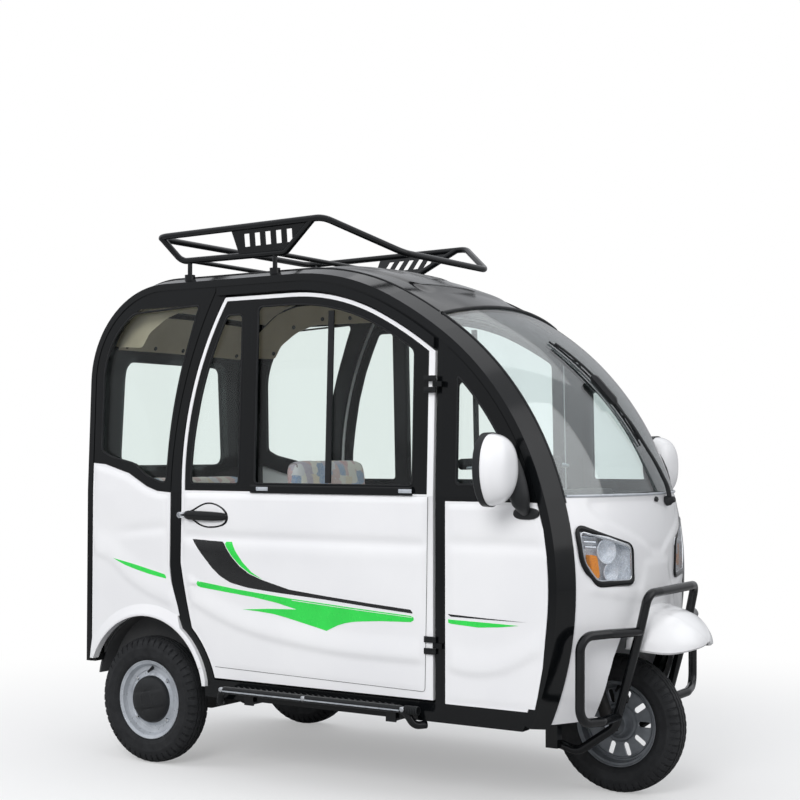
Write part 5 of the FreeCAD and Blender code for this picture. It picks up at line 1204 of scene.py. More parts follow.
class ScreenOperator(bpy.types.Operator):
    """Set the curved windscreen with its seals, wiper and washer"""

    bl_idname = "tricycle.screen"
    bl_label = "Windscreen"

    def execute(self, context):
        angles = steps_between(SCREEN_TOP, SCREEN_FOOT, 60)
        across = steps_between(-1, 1, 48)
        outer = strip_rows(angles, across, lambda a, t: screen_place(a, t, SCREEN_FACE))
        inner = strip_rows(angles, across, lambda a, t: screen_place(a, t, SCREEN_BACK))
        glass = closed_strip(outer, inner).make("curved_screen", "screen_glass", crease=50)
        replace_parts(glass, "windscreen")
        head = [screen_place(SCREEN_TOP, t, -2.0) for t in steps_between(-1, 1, 60)]
        Build().tube(head, 0.006, 10).make("screen_head_seal", "seal")
        for side, word in SIDES:
            bead = [screen_place(a, side * 0.996, -2.5) for a in angles]
            Build().tube(bead, 0.0042, 8).make("screen_side_seal_" + word, "seal")
        self.wiper()
        return {"FINISHED"}

    def over(self, angle, y, height):
        """A place on the glass at a normal's angle, so many millimetres above its face."""
        return screen_place(angle, y / screen_half(angle), SCREEN_FACE + height)

    def wiper(self):
        pivot, knee, joint = self.over(13.4, 103, 16), self.over(19.5, 55, 22), self.over(34, -48, 20)
        arm = rounded_line([pivot, self.over(15.5, 88, 24), knee, self.over(27, -2, 21), joint], 0.03)
        tip = Build().tube(arm, lambda t: lerp(0.0078, 0.0042, t), 10)
        tip.lathe(self.over(13.2, 103, 2), self.over(13.2, 103, 40) - self.over(13.2, 103, 0),
                  [(0, 0.0), (0, 0.016), (0.012, 0.016), (0.02, 0.011), (0.03, 0.009), (0.032, 0.0)], 24)
        made = tip.make("wiper_arm", "moulded_black", crease=45)
        way = steps_between(0, 1, 24)
        blade = [self.over(lerp(46, 23, t), lerp(-82, 26, t), 5) for t in way]
        spine = [self.over(lerp(45, 24, t), lerp(-77, 21, t), 12 + 5 * math.sin(t * math.pi)) for t in way]
        Build().tube(blade, 0.0032, 8).make("wiper_rubber", "rubber")
        Build().tube(spine, 0.0042, 8).make("wiper_spine", "moulded_black")
        block = Build().tube([self.over(36.5, -58, 20), self.over(35.8, -55, 20), self.over(31.2, -35, 21),
                              self.over(30.6, -32, 21)], lambda t: 0.0155 if 0.2 < t < 0.8 else 0.009, 6)
        for angle, y in ((40, -54), (29, 0)):
            block.tube([self.over(angle + 1.2, y - 3, 4), self.over(angle, y, 15),
                        self.over(angle - 1.2, y + 3, 4)], 0.003, 8)
        block.make("wiper_joint", "moulded_black")
        nozzle = Build().lathe(self.over(13.4, 12, -2), Vector((0.5, 0, 1)),
                               [(0, 0), (0, 0.009), (0.008, 0.009), (0.013, 0.005), (0.014, 0.0)], 20)
        nozzle.make("washer_nozzle", "moulded_black")
        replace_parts(made, "wiper")


# Window edges, in millimetres from the rear axle. The frames keep the edges this far inside the
# body's outline.
DOOR_EDGE, FRONT_EDGE, TAIL_EDGE = 127, 96, 89


def outline_between(offset, first, last, count):
    """Places (reach, z) on the outline moved by an offset, between two normals' angles."""
    places = [on_outline(angle, offset) for angle in steps_between(first, last, count)]
    return [(x + WHEELBASE / 2, z) for x, z in places]


def angle_where(offset, axis, value):
    """The normal's angle at which the offset outline reaches a reach (axis 0) or height (axis 1)."""
    low, high = -20.0, 90.0
    for _ in range(50):
        middle = (low + high) / 2
        x, z = on_outline(middle, offset)
        at = x + WHEELBASE / 2 if axis == 0 else z
        if (at > value) == (axis == 0):
            low = middle
        else:
            high = middle
    return (low + high) / 2


def main_window():
    """The opening of a door, under the roof's rail."""
    rear_x, front_x, sill = 461, 1074, 960
    turn = angle_where(-DOOR_EDGE, 0, front_x)
    over = outline_between(-DOOR_EDGE, turn, 90, 16)
    return round_flat([(rear_x, sill), (front_x, sill)] + over + [(rear_x, ROOF_Z - DOOR_EDGE)], 18)


def small_window():
    """The narrow opening at the rear of a door."""
    return round_flat([(190, 958), (395, 958), (395, 1522), (330, 1522), (296, 1452), (262, 1372),
                       (228, 1262), (206, 1150), (193, 1060)], 16)


def front_window():
    """The small window ahead of a door."""
    rear_x, sill = 1229, 966
    low = angle_where(-FRONT_EDGE, 1, sill)
    high = angle_where(-FRONT_EDGE, 0, rear_x)
    return round_flat([(rear_x, sill)] + outline_between(-FRONT_EDGE, low, high, 14), 14)


def rear_window():
    """The quarter window behind a door, whose rear edge runs round the tail."""
    radius = TAIL_R - TAIL_EDGE
    tail = []
    for degrees in steps_between(95, 176, 10):
        turn = math.radians(degrees)
        x = TAIL[0] + radius * math.cos(turn) + WHEELBASE / 2
        z = TAIL[1] + radius * math.sin(turn)
        if z < 1562 and x > -222:
            tail.append((x, z))
    return round_flat([(-222, 1070), (-178, 1048), (-66, 1024), (-4, 980), (55, 962), (80, 962), (92, 1092),
                       (114, 1232), (146, 1370), (186, 1500), (210, 1562)] + tail, 16)


def side_ring(side, loop, out, radius):
    """A closed bead on a side of the body."""
    path = [side_place(side, x, z, out) for x, z in loop]
    return Build().tube(path, radius * MM, 10, closed=True)


class WindowTrimOperator(bpy.types.Operator):
    """Run rubber round each side window and fit the sliding rails"""

    bl_idname = "tricycle.window_trim"
    bl_label = "Window Trim"

    def execute(self, context):
        for side, word in SIDES:
            door = "door_" + word
            for name, loop, body in (("main", main_window(), door), ("small", small_window(), door),
                                     ("front", front_window(), "body"), ("rear", rear_window(), "body")):
                bead = side_ring(side, loop, -3.0 if body == door else -2.0, 3.6)
                bead.make("%s_window_rubber_%s" % (name, word), "seal", body)
            self.rail(side, word, door)
            for i, x in enumerate((478, 1030)):
                self.catch(side, x).make("window_catch_%s_%d" % (word, i), "steel_silver", door, crease=30)
            section = ((744, -9), (744, -3), (749, -1.5), (760, -1.5), (765, -3), (765, -9))
            post = [[side_place(side, x, z, out) for x, out in section] for z in range(965, 1541, 24)]
            Build().ring(post).make("slider_post_" + word, "seal", door, crease=30)
        return {"FINISHED"}

    def rail(self, side, word, door):
        """The black rail under the sliding panes, along the whole door window."""
        section = ((930, -3), (930, 6), (934, 9), (952, 9), (957, 6), (957, -3))
        rows = [[side_place(side, x, z, out) for z, out in section] for x in range(452, 1092, 16)]
        Build().ring(rows).make("window_rail_" + word, "enamel_black", door, crease=30)

    def catch(self, side, x):
        """A small bright catch on the rail."""
        rows = []
        for dx in (0, 4, 44, 48):
            lift = 12.5 if 0 < dx < 48 else 9
            section = ((938, 8), (938, lift), (941, lift + 1), (948, lift + 1), (950, lift), (950, 8))
            rows.append([side_place(side, x + dx, z, out) for z, out in section])
        return Build().ring(rows)


HANDLE = ((176, 857), (190, 866), (208, 872), (232, 885), (262, 896), (290, 897), (318, 890), (344, 877),
          (358, 862), (362, 845), (356, 829), (340, 819), (310, 812), (270, 810), (238, 817), (210, 832),
          (190, 844), (177, 850))


HANDLE_Z = 853
LEVER = (
    # reach, half height, near and far face off the side
    (180, 9, 4, 20), (186, 12, 4, 25), (200, 15, 4, 27), (250, 15.5, 9, 28), (300, 15, 9, 27),
    (335, 13, 7, 24), (350, 10, 5, 18), (356, 6, 4, 11),
)
LOCK = ((4, 0), (4, 10), (18, 10), (20, 7.5), (27, 7.5), (29, 10.5), (38, 10.5), (40, 9), (40, 4),
        (37, 3.6), (37, 0))


class HandlesOperator(bpy.types.Operator):
    """Mould the door handles: a dished plate, its lever and the lock barrel"""

    bl_idname = "tricycle.handles"
    bl_label = "Door Handles"

    def execute(self, context):
        for side, word in SIDES:
            door = "door_" + word
            plate = self.plate(side).make("handle_plate_" + word, "tube_black", door, "black_plastic",
                                          crease=45)
            self.lever(side).make("handle_lever_" + word, "tube_black", door, "black_plastic", crease=40)
            barrel = Build().lathe(side_place(side, 181, HANDLE_Z, 0), (-0.25, side, 0), LOCK, 28, MM)
            barrel.make("handle_lock_" + word, "chrome", door, crease=35)
            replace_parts(plate, "door_handle_" + word)
        return {"FINISHED"}

    def plate(self, side):
        """The dished plate, in rings from its rim inward."""
        outline = round_flat(HANDLE, 12, 4)
        rows = []
        for out, grow in ((-1, 1.0), (6, 1.0), (9, 0.97), (10, 0.93), (8, 0.88), (4, 0.8), (3, 0.6),
                          (3, 0.05)):
            rows.append([side_place(side, lerp(282, x, grow), lerp(HANDLE_Z, z, grow), out)
                         for x, z in outline])
        return Build().ring(rows)

    def lever(self, side):
        """The pull, a bar whose section swells at the middle of its length."""
        rows = []
        for x, half, low, high in LEVER:
            middle = HANDLE_Z - (x - 180) * 0.02
            section = ((-1, low), (-1, high - 5), (-0.7, high - 1), (0, high), (0.7, high - 1),
                       (1, high - 5), (1, low))
            rows.append([side_place(side, x, middle + half * share, out) for share, out in section])
        return Build().ring(rows)


class MirrorsOperator(bpy.types.Operator):
    """Shape the mirror heads, their rims, arms and feet"""

    bl_idname = "tricycle.mirrors"
    bl_label = "Mirrors"

    def execute(self, context):
        for side, word in SIDES:
            head = self.head(side, word)
            self.arm(side, word)
            self.foot(side, word)
            if side < 0:
                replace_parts(head, "mirrors")
        return {"FINISHED"}

    def head(self, side, word):
        """The shell and, in its mouth, the rim of the housing."""
        def loop(x, scale):
            """An upright oval, narrower below, at a distance forward of the mirror's face."""
            row = []
            for c, s in circle(48):
                y = math.copysign(abs(c) ** 0.82, c) * 80 * scale
                z = math.copysign(abs(s) ** 0.86, s) * 104 * scale
                lower = soft_step(0, 100, -z)
                y = y * (1 - 0.16 * lower) - 5 * lower
                row.append(centre + Vector((x, -side * y, z)) * MM)
            return row

        centre = Vector((front(-111), side * 0.600, 1.013))
        rows = [loop(-14, 0.95)]
        for turn in steps_between(0, math.pi / 2, 14):
            rows.append(loop(-12 + 66 * math.sin(turn), max(0.02, math.cos(turn)) ** 0.62))
        head = Build().ring(rows).make("mirror_shell_" + word, "enamel_white", "body", "white_plastic",
                                       crease=50)
        rim = [loop(x, scale) for x, scale in ((-12, 0.97), (-9, 1.01), (-11, 1.035), (-30, 1.03),
                                               (-34, 0.98), (-32, 0.93), (-20, 0.92))]
        Build().ring(rim).make("mirror_housing_" + word, "moulded_black", crease=40)
        return head

    def arm(self, side, word):
        # forward of the front axle in millimetres, y and z in metres, radius in millimetres
        table = ((-88, 0.530, 1.058, 4), (-86, 0.531, 1.036, 14), (-83, 0.532, 1.006, 23),
                 (-79, 0.532, 0.972, 29), (-74, 0.530, 0.940, 30), (-71, 0.523, 0.918, 27),
                 (-70, 0.511, 0.902, 20), (-70, 0.497, 0.890, 15))
        path = [Vector((front(x), side * y, z)) for x, y, z, r in table]
        radii = [(i / 7, row[3]) for i, row in enumerate(table)]
        build = Build().tube(path, lambda t: table_at(radii, t) * MM, 18)
        build.make("mirror_arm_" + word, "moulded_black", crease=45)

    def foot(self, side, word):
        """The oval foot on the front quarter panel."""
        rows = []
        for out, grow in ((0.2, 1.0), (8, 0.98), (12, 0.9), (14, 0.72)):
            rows.append([side_place(side, 1470 + 42 * grow * math.copysign(abs(c) ** 0.8, c),
                                    884 + 18 * grow * math.copysign(abs(s) ** 0.8, s), out)
                         for c, s in circle(32)])
        Build().ring(rows).make("mirror_foot_" + word, "moulded_black", crease=40)


# The tail.
TAIL_U = 410
TAIL_SKIN = 11
TAIL_LINING = 24


def tail_place(u, s, out):
    """A place on the upper tail: u across, -TAIL_U to TAIL_U, s up the outline from the ground."""
    turn = math.pi - max(0.0, s - TAIL[1]) / TAIL_R
    z = TAIL[1] + TAIL_R * math.sin(turn) if s > TAIL[1] else s
    half = SKIN_HALF - lean(z)
    y = u * half / TAIL_U
    reach = TAIL_R + out - 3 + bow(half, 10 + 4 * soft_step(TAIL[1], 1620, s), y)
    if s <= TAIL[1]:
        return Vector((TAIL[0] - reach, y, s)) * MM
    return Vector((TAIL[0] + reach * math.cos(turn), y, TAIL[1] + reach * math.sin(turn))) * MM


STUD = ((0, 0), (0, 0.008), (0.002, 0.008), (0.004, 0.004), (0.0042, 0))
ROOF_FLAP = [(-250, 1442), (-119, 1434), (-87, 1485), (-9, 1534), (80, 1561), (375, 1557), (375, 1625),
             (100, 1640), (0, 1636), (-100, 1610), (-200, 1536), (-250, 1462)]
FLAP_STUDS = ((-225, 1462), (-122, 1456), (-20, 1556), (120, 1582), (250, 1580), (350, 1578))


def flap_place(side, x, z, reach):
    """A place on the side lining, which leans in with the body."""
    return spot(x, side * (reach - lean(z)), z)


class TailOperator(bpy.types.Operator):
    """Bend the black tail round its window, with the lining and lamp surrounds"""

    bl_idname = "tricycle.tail"
    bl_label = "Tail"

    def execute(self, context):
        heights = (934, 1280, 1450, 1618)
        outside = [(-TAIL_U, heights[0])] + [(TAIL_U, s) for s in heights]
        outside += [(-TAIL_U, s) for s in heights[:0:-1]]
        hole = round_flat([(-300, 1010), (300, 1010), (284, 1401), (-284, 1401)], 50)
        build = sheet_between([outside, hole], (20.0, 12.0), lambda u, s: tail_place(u, s, 0),
                              lambda u, s: tail_place(u, s, -TAIL_SKIN))
        tail = build.make("tail_skin", "enamel_black", crease=40)
        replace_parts(tail, "rear_window_frame")
        rim = [tail_place(u, s, 1) for u, s in hole]
        Build().tube(rim, 0.006, 10, closed=True).make("rear_window_rubber", "seal")
        self.lining()
        for side, word in SIDES:
            self.flap(side, word)
        for side, word in SIDES:
            self.lamp(side, word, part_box("tail_lamps"))
        return {"FINISHED"}

    def lining(self):
        """The beige sheet above the rear window and its row of studs."""
        apron = [(-372, 1446), (372, 1446), (372, 1600), (-372, 1600)]
        build = sheet_between([apron], (24.0, 14.0), lambda u, s: tail_place(u, s, -TAIL_LINING),
                              lambda u, s: tail_place(u, s, -TAIL_LINING - 3))
        build.make("tail_lining", "lining", crease=40)
        studs = Build()
        for u in (-330, -165, 0, 165, 330):
            at = tail_place(u, 1462, -TAIL_LINING - 3)
            studs.lathe(at, tail_place(u, 1462, -40) - at, STUD, 14)
        studs.make("lining_studs", "moulded_black")

    def flap(self, side, word):
        """The beige sheet inside the top of a rear quarter, with its studs."""
        flap = round_flat(ROOF_FLAP, 14)
        build = sheet_between([flap], (24.0, 14.0), lambda x, z: flap_place(side, x, z, 404),
                              lambda x, z: flap_place(side, x, z, 401))
        build.make("side_lining_" + word, "lining", crease=40)
        studs = Build()
        for x, z in FLAP_STUDS:
            studs.lathe(flap_place(side, x, z, 401), (0, -side, 0), STUD, 14)
        studs.make("side_lining_studs_" + word, "moulded_black")

    def lamp(self, side, word, box):
        """A chrome surround and two bare dividing bars on a tail lamp."""
        low, high = box
        x = low[0] + 0.0045
        inner, outer = side * (high[1] - 0.062), side * (high[1] - 0.002)
        foot, top = low[2] + 0.003, high[2] - 0.003
        loop = round_loop([(x, inner, foot), (x, outer, foot), (x, outer, top), (x, inner, top)], 0.012)
        frame_tube = Build().tube(loop, 0.0034, 8, closed=True)
        for share in (0.36, 0.68):
            z = lerp(low[2], high[2], share)
            frame_tube.tube([(x - 0.0005, inner, z), (x - 0.0005, outer, z)], 0.0024, 8)
        frame_tube.make("tail_lamp_surround_" + word, "chrome")


STEP_Y, STEP_Z = 525, 286  # the middle of the step's outer tube


class StepsOperator(bpy.types.Operator):
    """Dress the side steps with strips, studs and ribbed ends"""

    bl_idname = "tricycle.steps"
    bl_label = "Side Steps"

    def execute(self, context):
        for side, word in SIDES:
            self.strip(side, word)
            bolts = Build()
            for x in (368, 700, 1070):
                bolts.lathe(spot(x, side * 536.5, 288), (0, side, 0),
                            [(-0.004, 0), (-0.004, 0.008), (0.002, 0.008), (0.005, 0.005), (0.0056, 0)], 14)
            bolts.make("step_bolts_" + word, "chrome", "body", "silver_steel")
            studs = Build()
            for i in range(27):
                for inward in (0, 12):
                    studs.lathe(spot(414 + 23 * i + inward, side * (500 + inward), 293.5), (0, 0, 1),
                                [(0, 0), (0, 0.005), (0.003, 0.0044), (0.0042, 0.002), (0.0043, 0)], 10)
            studs.make("step_studs_" + word, "tube_black")
            ribs = Build()
            for i in range(8):
                ribs.lathe(spot(1078 + 6 * i, side * STEP_Y, STEP_Z), (1, 0, 0),
                           [(-0.002, 0.011), (-0.0016, 0.0138), (0.0016, 0.0138), (0.002, 0.011)], 20)
            ribs.make("step_ribs_" + word, "moulded_black")
        return {"FINISHED"}

    def strip(self, side, word):
        """The bright notched strip along the outer upper quarter of the step's tube."""
        rows = []
        for i in range(58):
            proud = 13.6 if i % 4 < 3 else 12.8
            row = []
            for degrees, radius in ((-20, 11), (-18, proud), (-9, proud + 0.3), (0, proud), (2, 11)):
                turn = math.radians(degrees)
                row.append(spot(376 + i * 12, side * (STEP_Y + radius * math.cos(turn)),
                                STEP_Z + radius * math.sin(turn)))
            rows.append(row)
        Build().ring(rows).make("step_strip_" + word, "steel_silver", crease=25)


SLEEVE = ((0, 0.0052), (0, 0.0068), (0.017, 0.0068), (0.017, 0.0052))


class HingesOperator(bpy.types.Operator):
    """Cover the door leaves of the hinges with black sleeves"""

    bl_idname = "tricycle.hinges"
    bl_label = "Door Hinges"

    def execute(self, context):
        for side, word in SIDES:
            for height in (480, 1270):
                build = Build()
                for low in (height - 26, height + 9):
                    build.lathe(spot(1156, side * 488, low), (0, 0, 1), SLEEVE, 20)
                    rows = []
                    for x, proud in ((1121, 491.4), (1123, 492.2), (1148, 492.2), (1152, 492.2)):
                        section = ((484, -0.6), (proud, -0.6), (proud + 0.6, 2), (proud + 0.6, 15),
                                   (proud, 17.6), (484, 17.6))
                        rows.append([spot(x, side * y, low + rise) for y, rise in section])
                    build.ring(rows)
                build.make("hinge_leaf_%s_%d" % (word, height), "tube_black", "door_" + word, crease=35)
        return {"FINISHED"}


class CabOperator(bpy.types.Operator):
    """Fit the grips, levers, display, binnacle, vents and pedals"""

    bl_idname = "tricycle.cab"
    bl_label = "Controls"

    def execute(self, context):
        for side, word in SIDES:
            self.bar_end(side, word)
        self.display()
        self.binnacle()
        self.pedals()
        return {"FINISHED"}

    def bar_end(self, side, word):
        """The ribbed grip, the switch pod and the brake lever at one end of the handlebar."""
        root, tip = Vector((0.471, side * 0.150, 1.031)), Vector((0.367, side * 0.300, 1.025))
        along = (tip - root).normalized()
        rib = [(-0.003, 0.013), (-0.003, 0.0172), (0, 0.0180), (0.003, 0.0172), (0.003, 0.013)]
        sleeve = [(0, 0.0138), (0, 0.0165), (0.122, 0.0165), (0.126, 0.013), (0.127, 0)]
        grip = Build()
        for i in range(15):
            grip.lathe(tip - along * (0.118 - i * 0.008), along, rib, 20)
        grip.lathe(tip - along * 0.122, along, sleeve, 24)
        grip.make("handle_grip_" + word, "rubber", "steering", crease=50)
        pod = [(-0.026, 0.014), (-0.026, 0.021), (-0.022, 0.024), (0.022, 0.024), (0.026, 0.021),
               (0.026, 0.014)]
        Build().lathe(tip - along * 0.16, along, pod, 24).make(
            "switch_pod_" + word, "moulded_black", "steering", crease=35)
        pivot = tip - along * 0.15 + Vector((0.026, 0, -0.006))
        path = rounded_line([pivot, pivot + Vector((0.020, side * 0.020, -0.006)),
                             tip - along * 0.07 + Vector((0.040, side * 0.010, -0.010)),
                             tip + Vector((0.030, side * 0.012, -0.012))], 0.03)
        lever = Build().tube(path, lambda t: lerp(0.0062, 0.0046, t), 10)
        lever.make("brake_lever_" + word, "steel_silver", "steering")

    def slab(self, outline, place, layers):
        """A moulded block from an outline, with layers of (push, scale)."""
        middle = [sum(p[axis] for p in outline) / len(outline) for axis in (0, 1)]
        return Build().ring([[place(lerp(middle[0], a, scale), lerp(middle[1], b, scale), push)
                              for a, b in outline] for push, scale in layers])

    def display(self):
        """The meter pod on the bar's middle, facing the driver."""
        outline = round_flat([(-78, -26), (78, -26), (62, 34), (-62, 34)], 18)
        layers = ((34, 0.6), (28, 0.9), (10, 1.0), (2, 1.0), (0, 0.96), (4, 0.88))

        def place(y, h, push):
            return Vector((0.470 + (push + 0.35 * h) * MM, y * MM, 1.018 + h * MM))

        self.slab(outline, place, layers).make("meter_pod", "moulded_black", "steering", crease=40)
        glass = [(a * 0.84, b * 0.78 + 1) for a, b in outline]
        self.slab(glass, place, ((3.8, 0.98), (2.6, 1.0), (2.4, 0.94))).make(
            "meter_glass", "enamel_black", "steering", "clear_glass", crease=40)

    def binnacle(self):
        """The shelf on the dashboard, the bars of its vents and a row of push buttons."""
        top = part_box("dashboard")[1][2]
        outline = round_flat([(-170, 628), (170, 628), (150, 690), (-150, 690)], 22)

        def place(y, x, push):
            return Vector((x * MM, y * MM, top + push * MM))

        shelf = self.slab(outline, place, ((-1, 1.0), (12, 0.98), (18, 0.9), (20, 0.6)))
        shelf.make("dash_shelf", "moulded_black", crease=40)
        for side, word in SIDES:
            vent = Build()
            for i in range(6):
                y = side * (0.255 + i * 0.019)
                vent.tube([(0.640, y, top + 0.0015), (0.720, y, top + 0.0015)], 0.0034, 8)
            vent.make("dash_vents_" + word, "moulded_black")
        switches = Build()
        for i in range(4):
            y = -0.060 + 0.040 * i
            switches.tube([(0.6035, y, top - 0.060), (0.5985, y, top - 0.060), (0.5965, y, top - 0.060)],
                          lambda t: 0.012 if t < 0.7 else 0.010, 18)
        switches.make("dash_buttons", "enamel_black", "body", "black_plastic", crease=40)

    def pedals(self):
        """The brake pedal: a bent arm and a ribbed pad that slopes back."""
        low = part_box("floor_pan")[0][2]
        y = -0.105
        arm = Build().tube(rounded_line([(0.512, y, low + 0.150), (0.470, y, low + 0.145),
                                         (0.440, y, low + 0.085)], 0.03), 0.006, 10)
        arm.make("pedal_arm", "casting")
        rows = []
        for push, scale in ((0, 0.94), (3, 1.0), (9, 1.0), (12, 0.92)):
            half, tall = 0.032 * scale, 0.026 * scale
            loop = round_flat([(-half, -tall), (half, -tall), (half, tall), (-half, tall)], 0.010)
            rows.append([Vector((0.441 - 0.0008 * push + h * 0.5, y + v,
                                 low + 0.085 + h * 0.87 + 0.0004 * push)) for v, h in loop])
        pad = Build().ring(rows)
        for h in steps_between(-0.020, 0.020, 4):
            x, z = 0.4305 + h * 0.5, low + 0.090 + h * 0.87
            pad.tube([(x, y - 0.025, z), (x, y + 0.025, z)], 0.0022, 8)
        pad.make("pedal_pad", "rubber", crease=35)


# The wheels.
def zigzag(turns):
    """A wave of straight lines between -1 and 1, one for each turn."""
    return 1 - 4 * abs(turns % 1.0 - 0.5)


def tyre_section(rim):
    """One side of the tyre as (distance from the middle, radius, zigzag, block), in from the tread."""
    return ((0.0, 215.0, 1, 0), (5.6, 215.0, 1, 0), (6.4, 209.4, 1, 0), (9.6, 209.2, 1, 0),
            (10.4, 214.7, 1, 0), (19.6, 213.6, 1, 0), (20.4, 207.6, 1, 0), (24.4, 206.4, 1, 0),
            (25.2, 211.6, 1, 0), (31.0, 208.6, 0, 1), (37.5, 203.4, 0, 1), (39.5, 200.0, 0, 1),
            (42.4, 190.0, 0, 1), (43.4, 186.0, 0, 0), (45.2, 178.0, 0, 0), (45.9, 176.4, 0, 0),
            (45.9, 173.6, 0, 0), (45.4, 172.0, 0, 0), (45.2, 160.0, 0, 0), (43.4, 150.0, 0, 0),
            (42.6, 149.0, 0, 0), (41.2, 146.0, 0, 0), (38.8, 140.6, 0, 0), (36.4, 138.6, 0, 0),
            (rim, 136.0, 0, 0), (rim - 1.5, 134.6, 0, 0))


class TyresOperator(bpy.types.Operator):
    """Mould the tread blocks and sidewalls of the tyres"""

    bl_idname = "tricycle.tyres"
    bl_label = "Tyres"

    def execute(self, context):
        blocks = context.scene.tricycle_sizes.tread_blocks
        self.tyre("front_tread", "wheel_front", "front_tyre", front(0) / MM, 0.0, blocks, 5.0)
        for side, word in SIDES:
            self.tyre("rear_tread_" + word, "wheel_rear_" + word, "rear_tyre_" + word, rear(0) / MM,
                      side * HALF_TRACK, blocks - 8, 7.0)
        return {"FINISHED"}

    def tyre(self, name, body, node_name, x, y, blocks, depth):
        half = tyre_section(33.0)
        section = [(-a, r, z, b) for a, r, z, b in reversed(half[1:])] + list(half)
        rows = []
        for i in range(blocks):
            for share, cut in ((0.0, 0), (0.34, 0), (0.68, 0), (0.74, 1), (0.94, 1)):
                turn = 2 * math.pi * (i + share) / blocks
                row = []
                for along, radius, zig, block in section:
                    across = along + zig * 2.2 * zigzag(i + share)
                    if block and cut:
                        across *= 0.985
                        radius -= depth
                    row.append(Vector((x + radius * math.cos(turn), y + across,
                                       WHEEL_RADIUS + radius * math.sin(turn))) * MM)
                rows.append(row)
        build = Build().ring(rows, closed_ends=True)
        made = build.make(name, "rubber", body, crease=28)
        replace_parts(made, node_name)


RIM = (
    # outward from the wheel's middle, radius
    (33, 134), (34.5, 133), (34.5, 131), (33, 129.5), (31.5, 126), (30, 122), (20, 118), (15, 114),
    (13.5, 108), (13.5, 101), (11, 98), (11, 91), (14.5, 86), (20, 75), (23, 66), (26.5, 61), (31, 58),
    (31, 47), (28, 45), (10, 44), (10, 30), (-18, 30), (-18, 44), (0, 48), (-4, 90), (-8, 108),
    (-24, 118), (-29, 122), (-31.5, 128), (-34.5, 131), (-33, 134), (-28, 132), (-20, 124), (20, 124),
    (28, 132),
)


FRONT_LIP = ((29, 127), (31.5, 128), (33, 130), (34.5, 132), (34, 134), (32.5, 134.2), (31, 131), (27, 129),
             (24, 124), (24, 122))
FRONT_RING = ((4, 113), (6, 112), (8, 110), (8, 108), (5.6, 106), (4, 105.6), (3.4, 109))
FRONT_HUB = ((3.6, 60), (7, 59), (10, 56), (11, 51), (10, 48), (16, 44), (30, 37), (39, 35.5), (40, 34),
             (38.4, 30), (32, 24), (31, 17), (38.6, 16), (39.6, 14), (39.6, 9.6), (30, 9.6), (3, 12))
WHEEL_PLANE = (Vector((1, 0, 0)), Vector((0, 0, 1)))
VALVE = ((-0.004, 0), (-0.004, 0.0062), (0.006, 0.0056), (0.016, 0.0042), (0.024, 0.0042), (0.0245, 0.0036),
         (0.0255, 0))


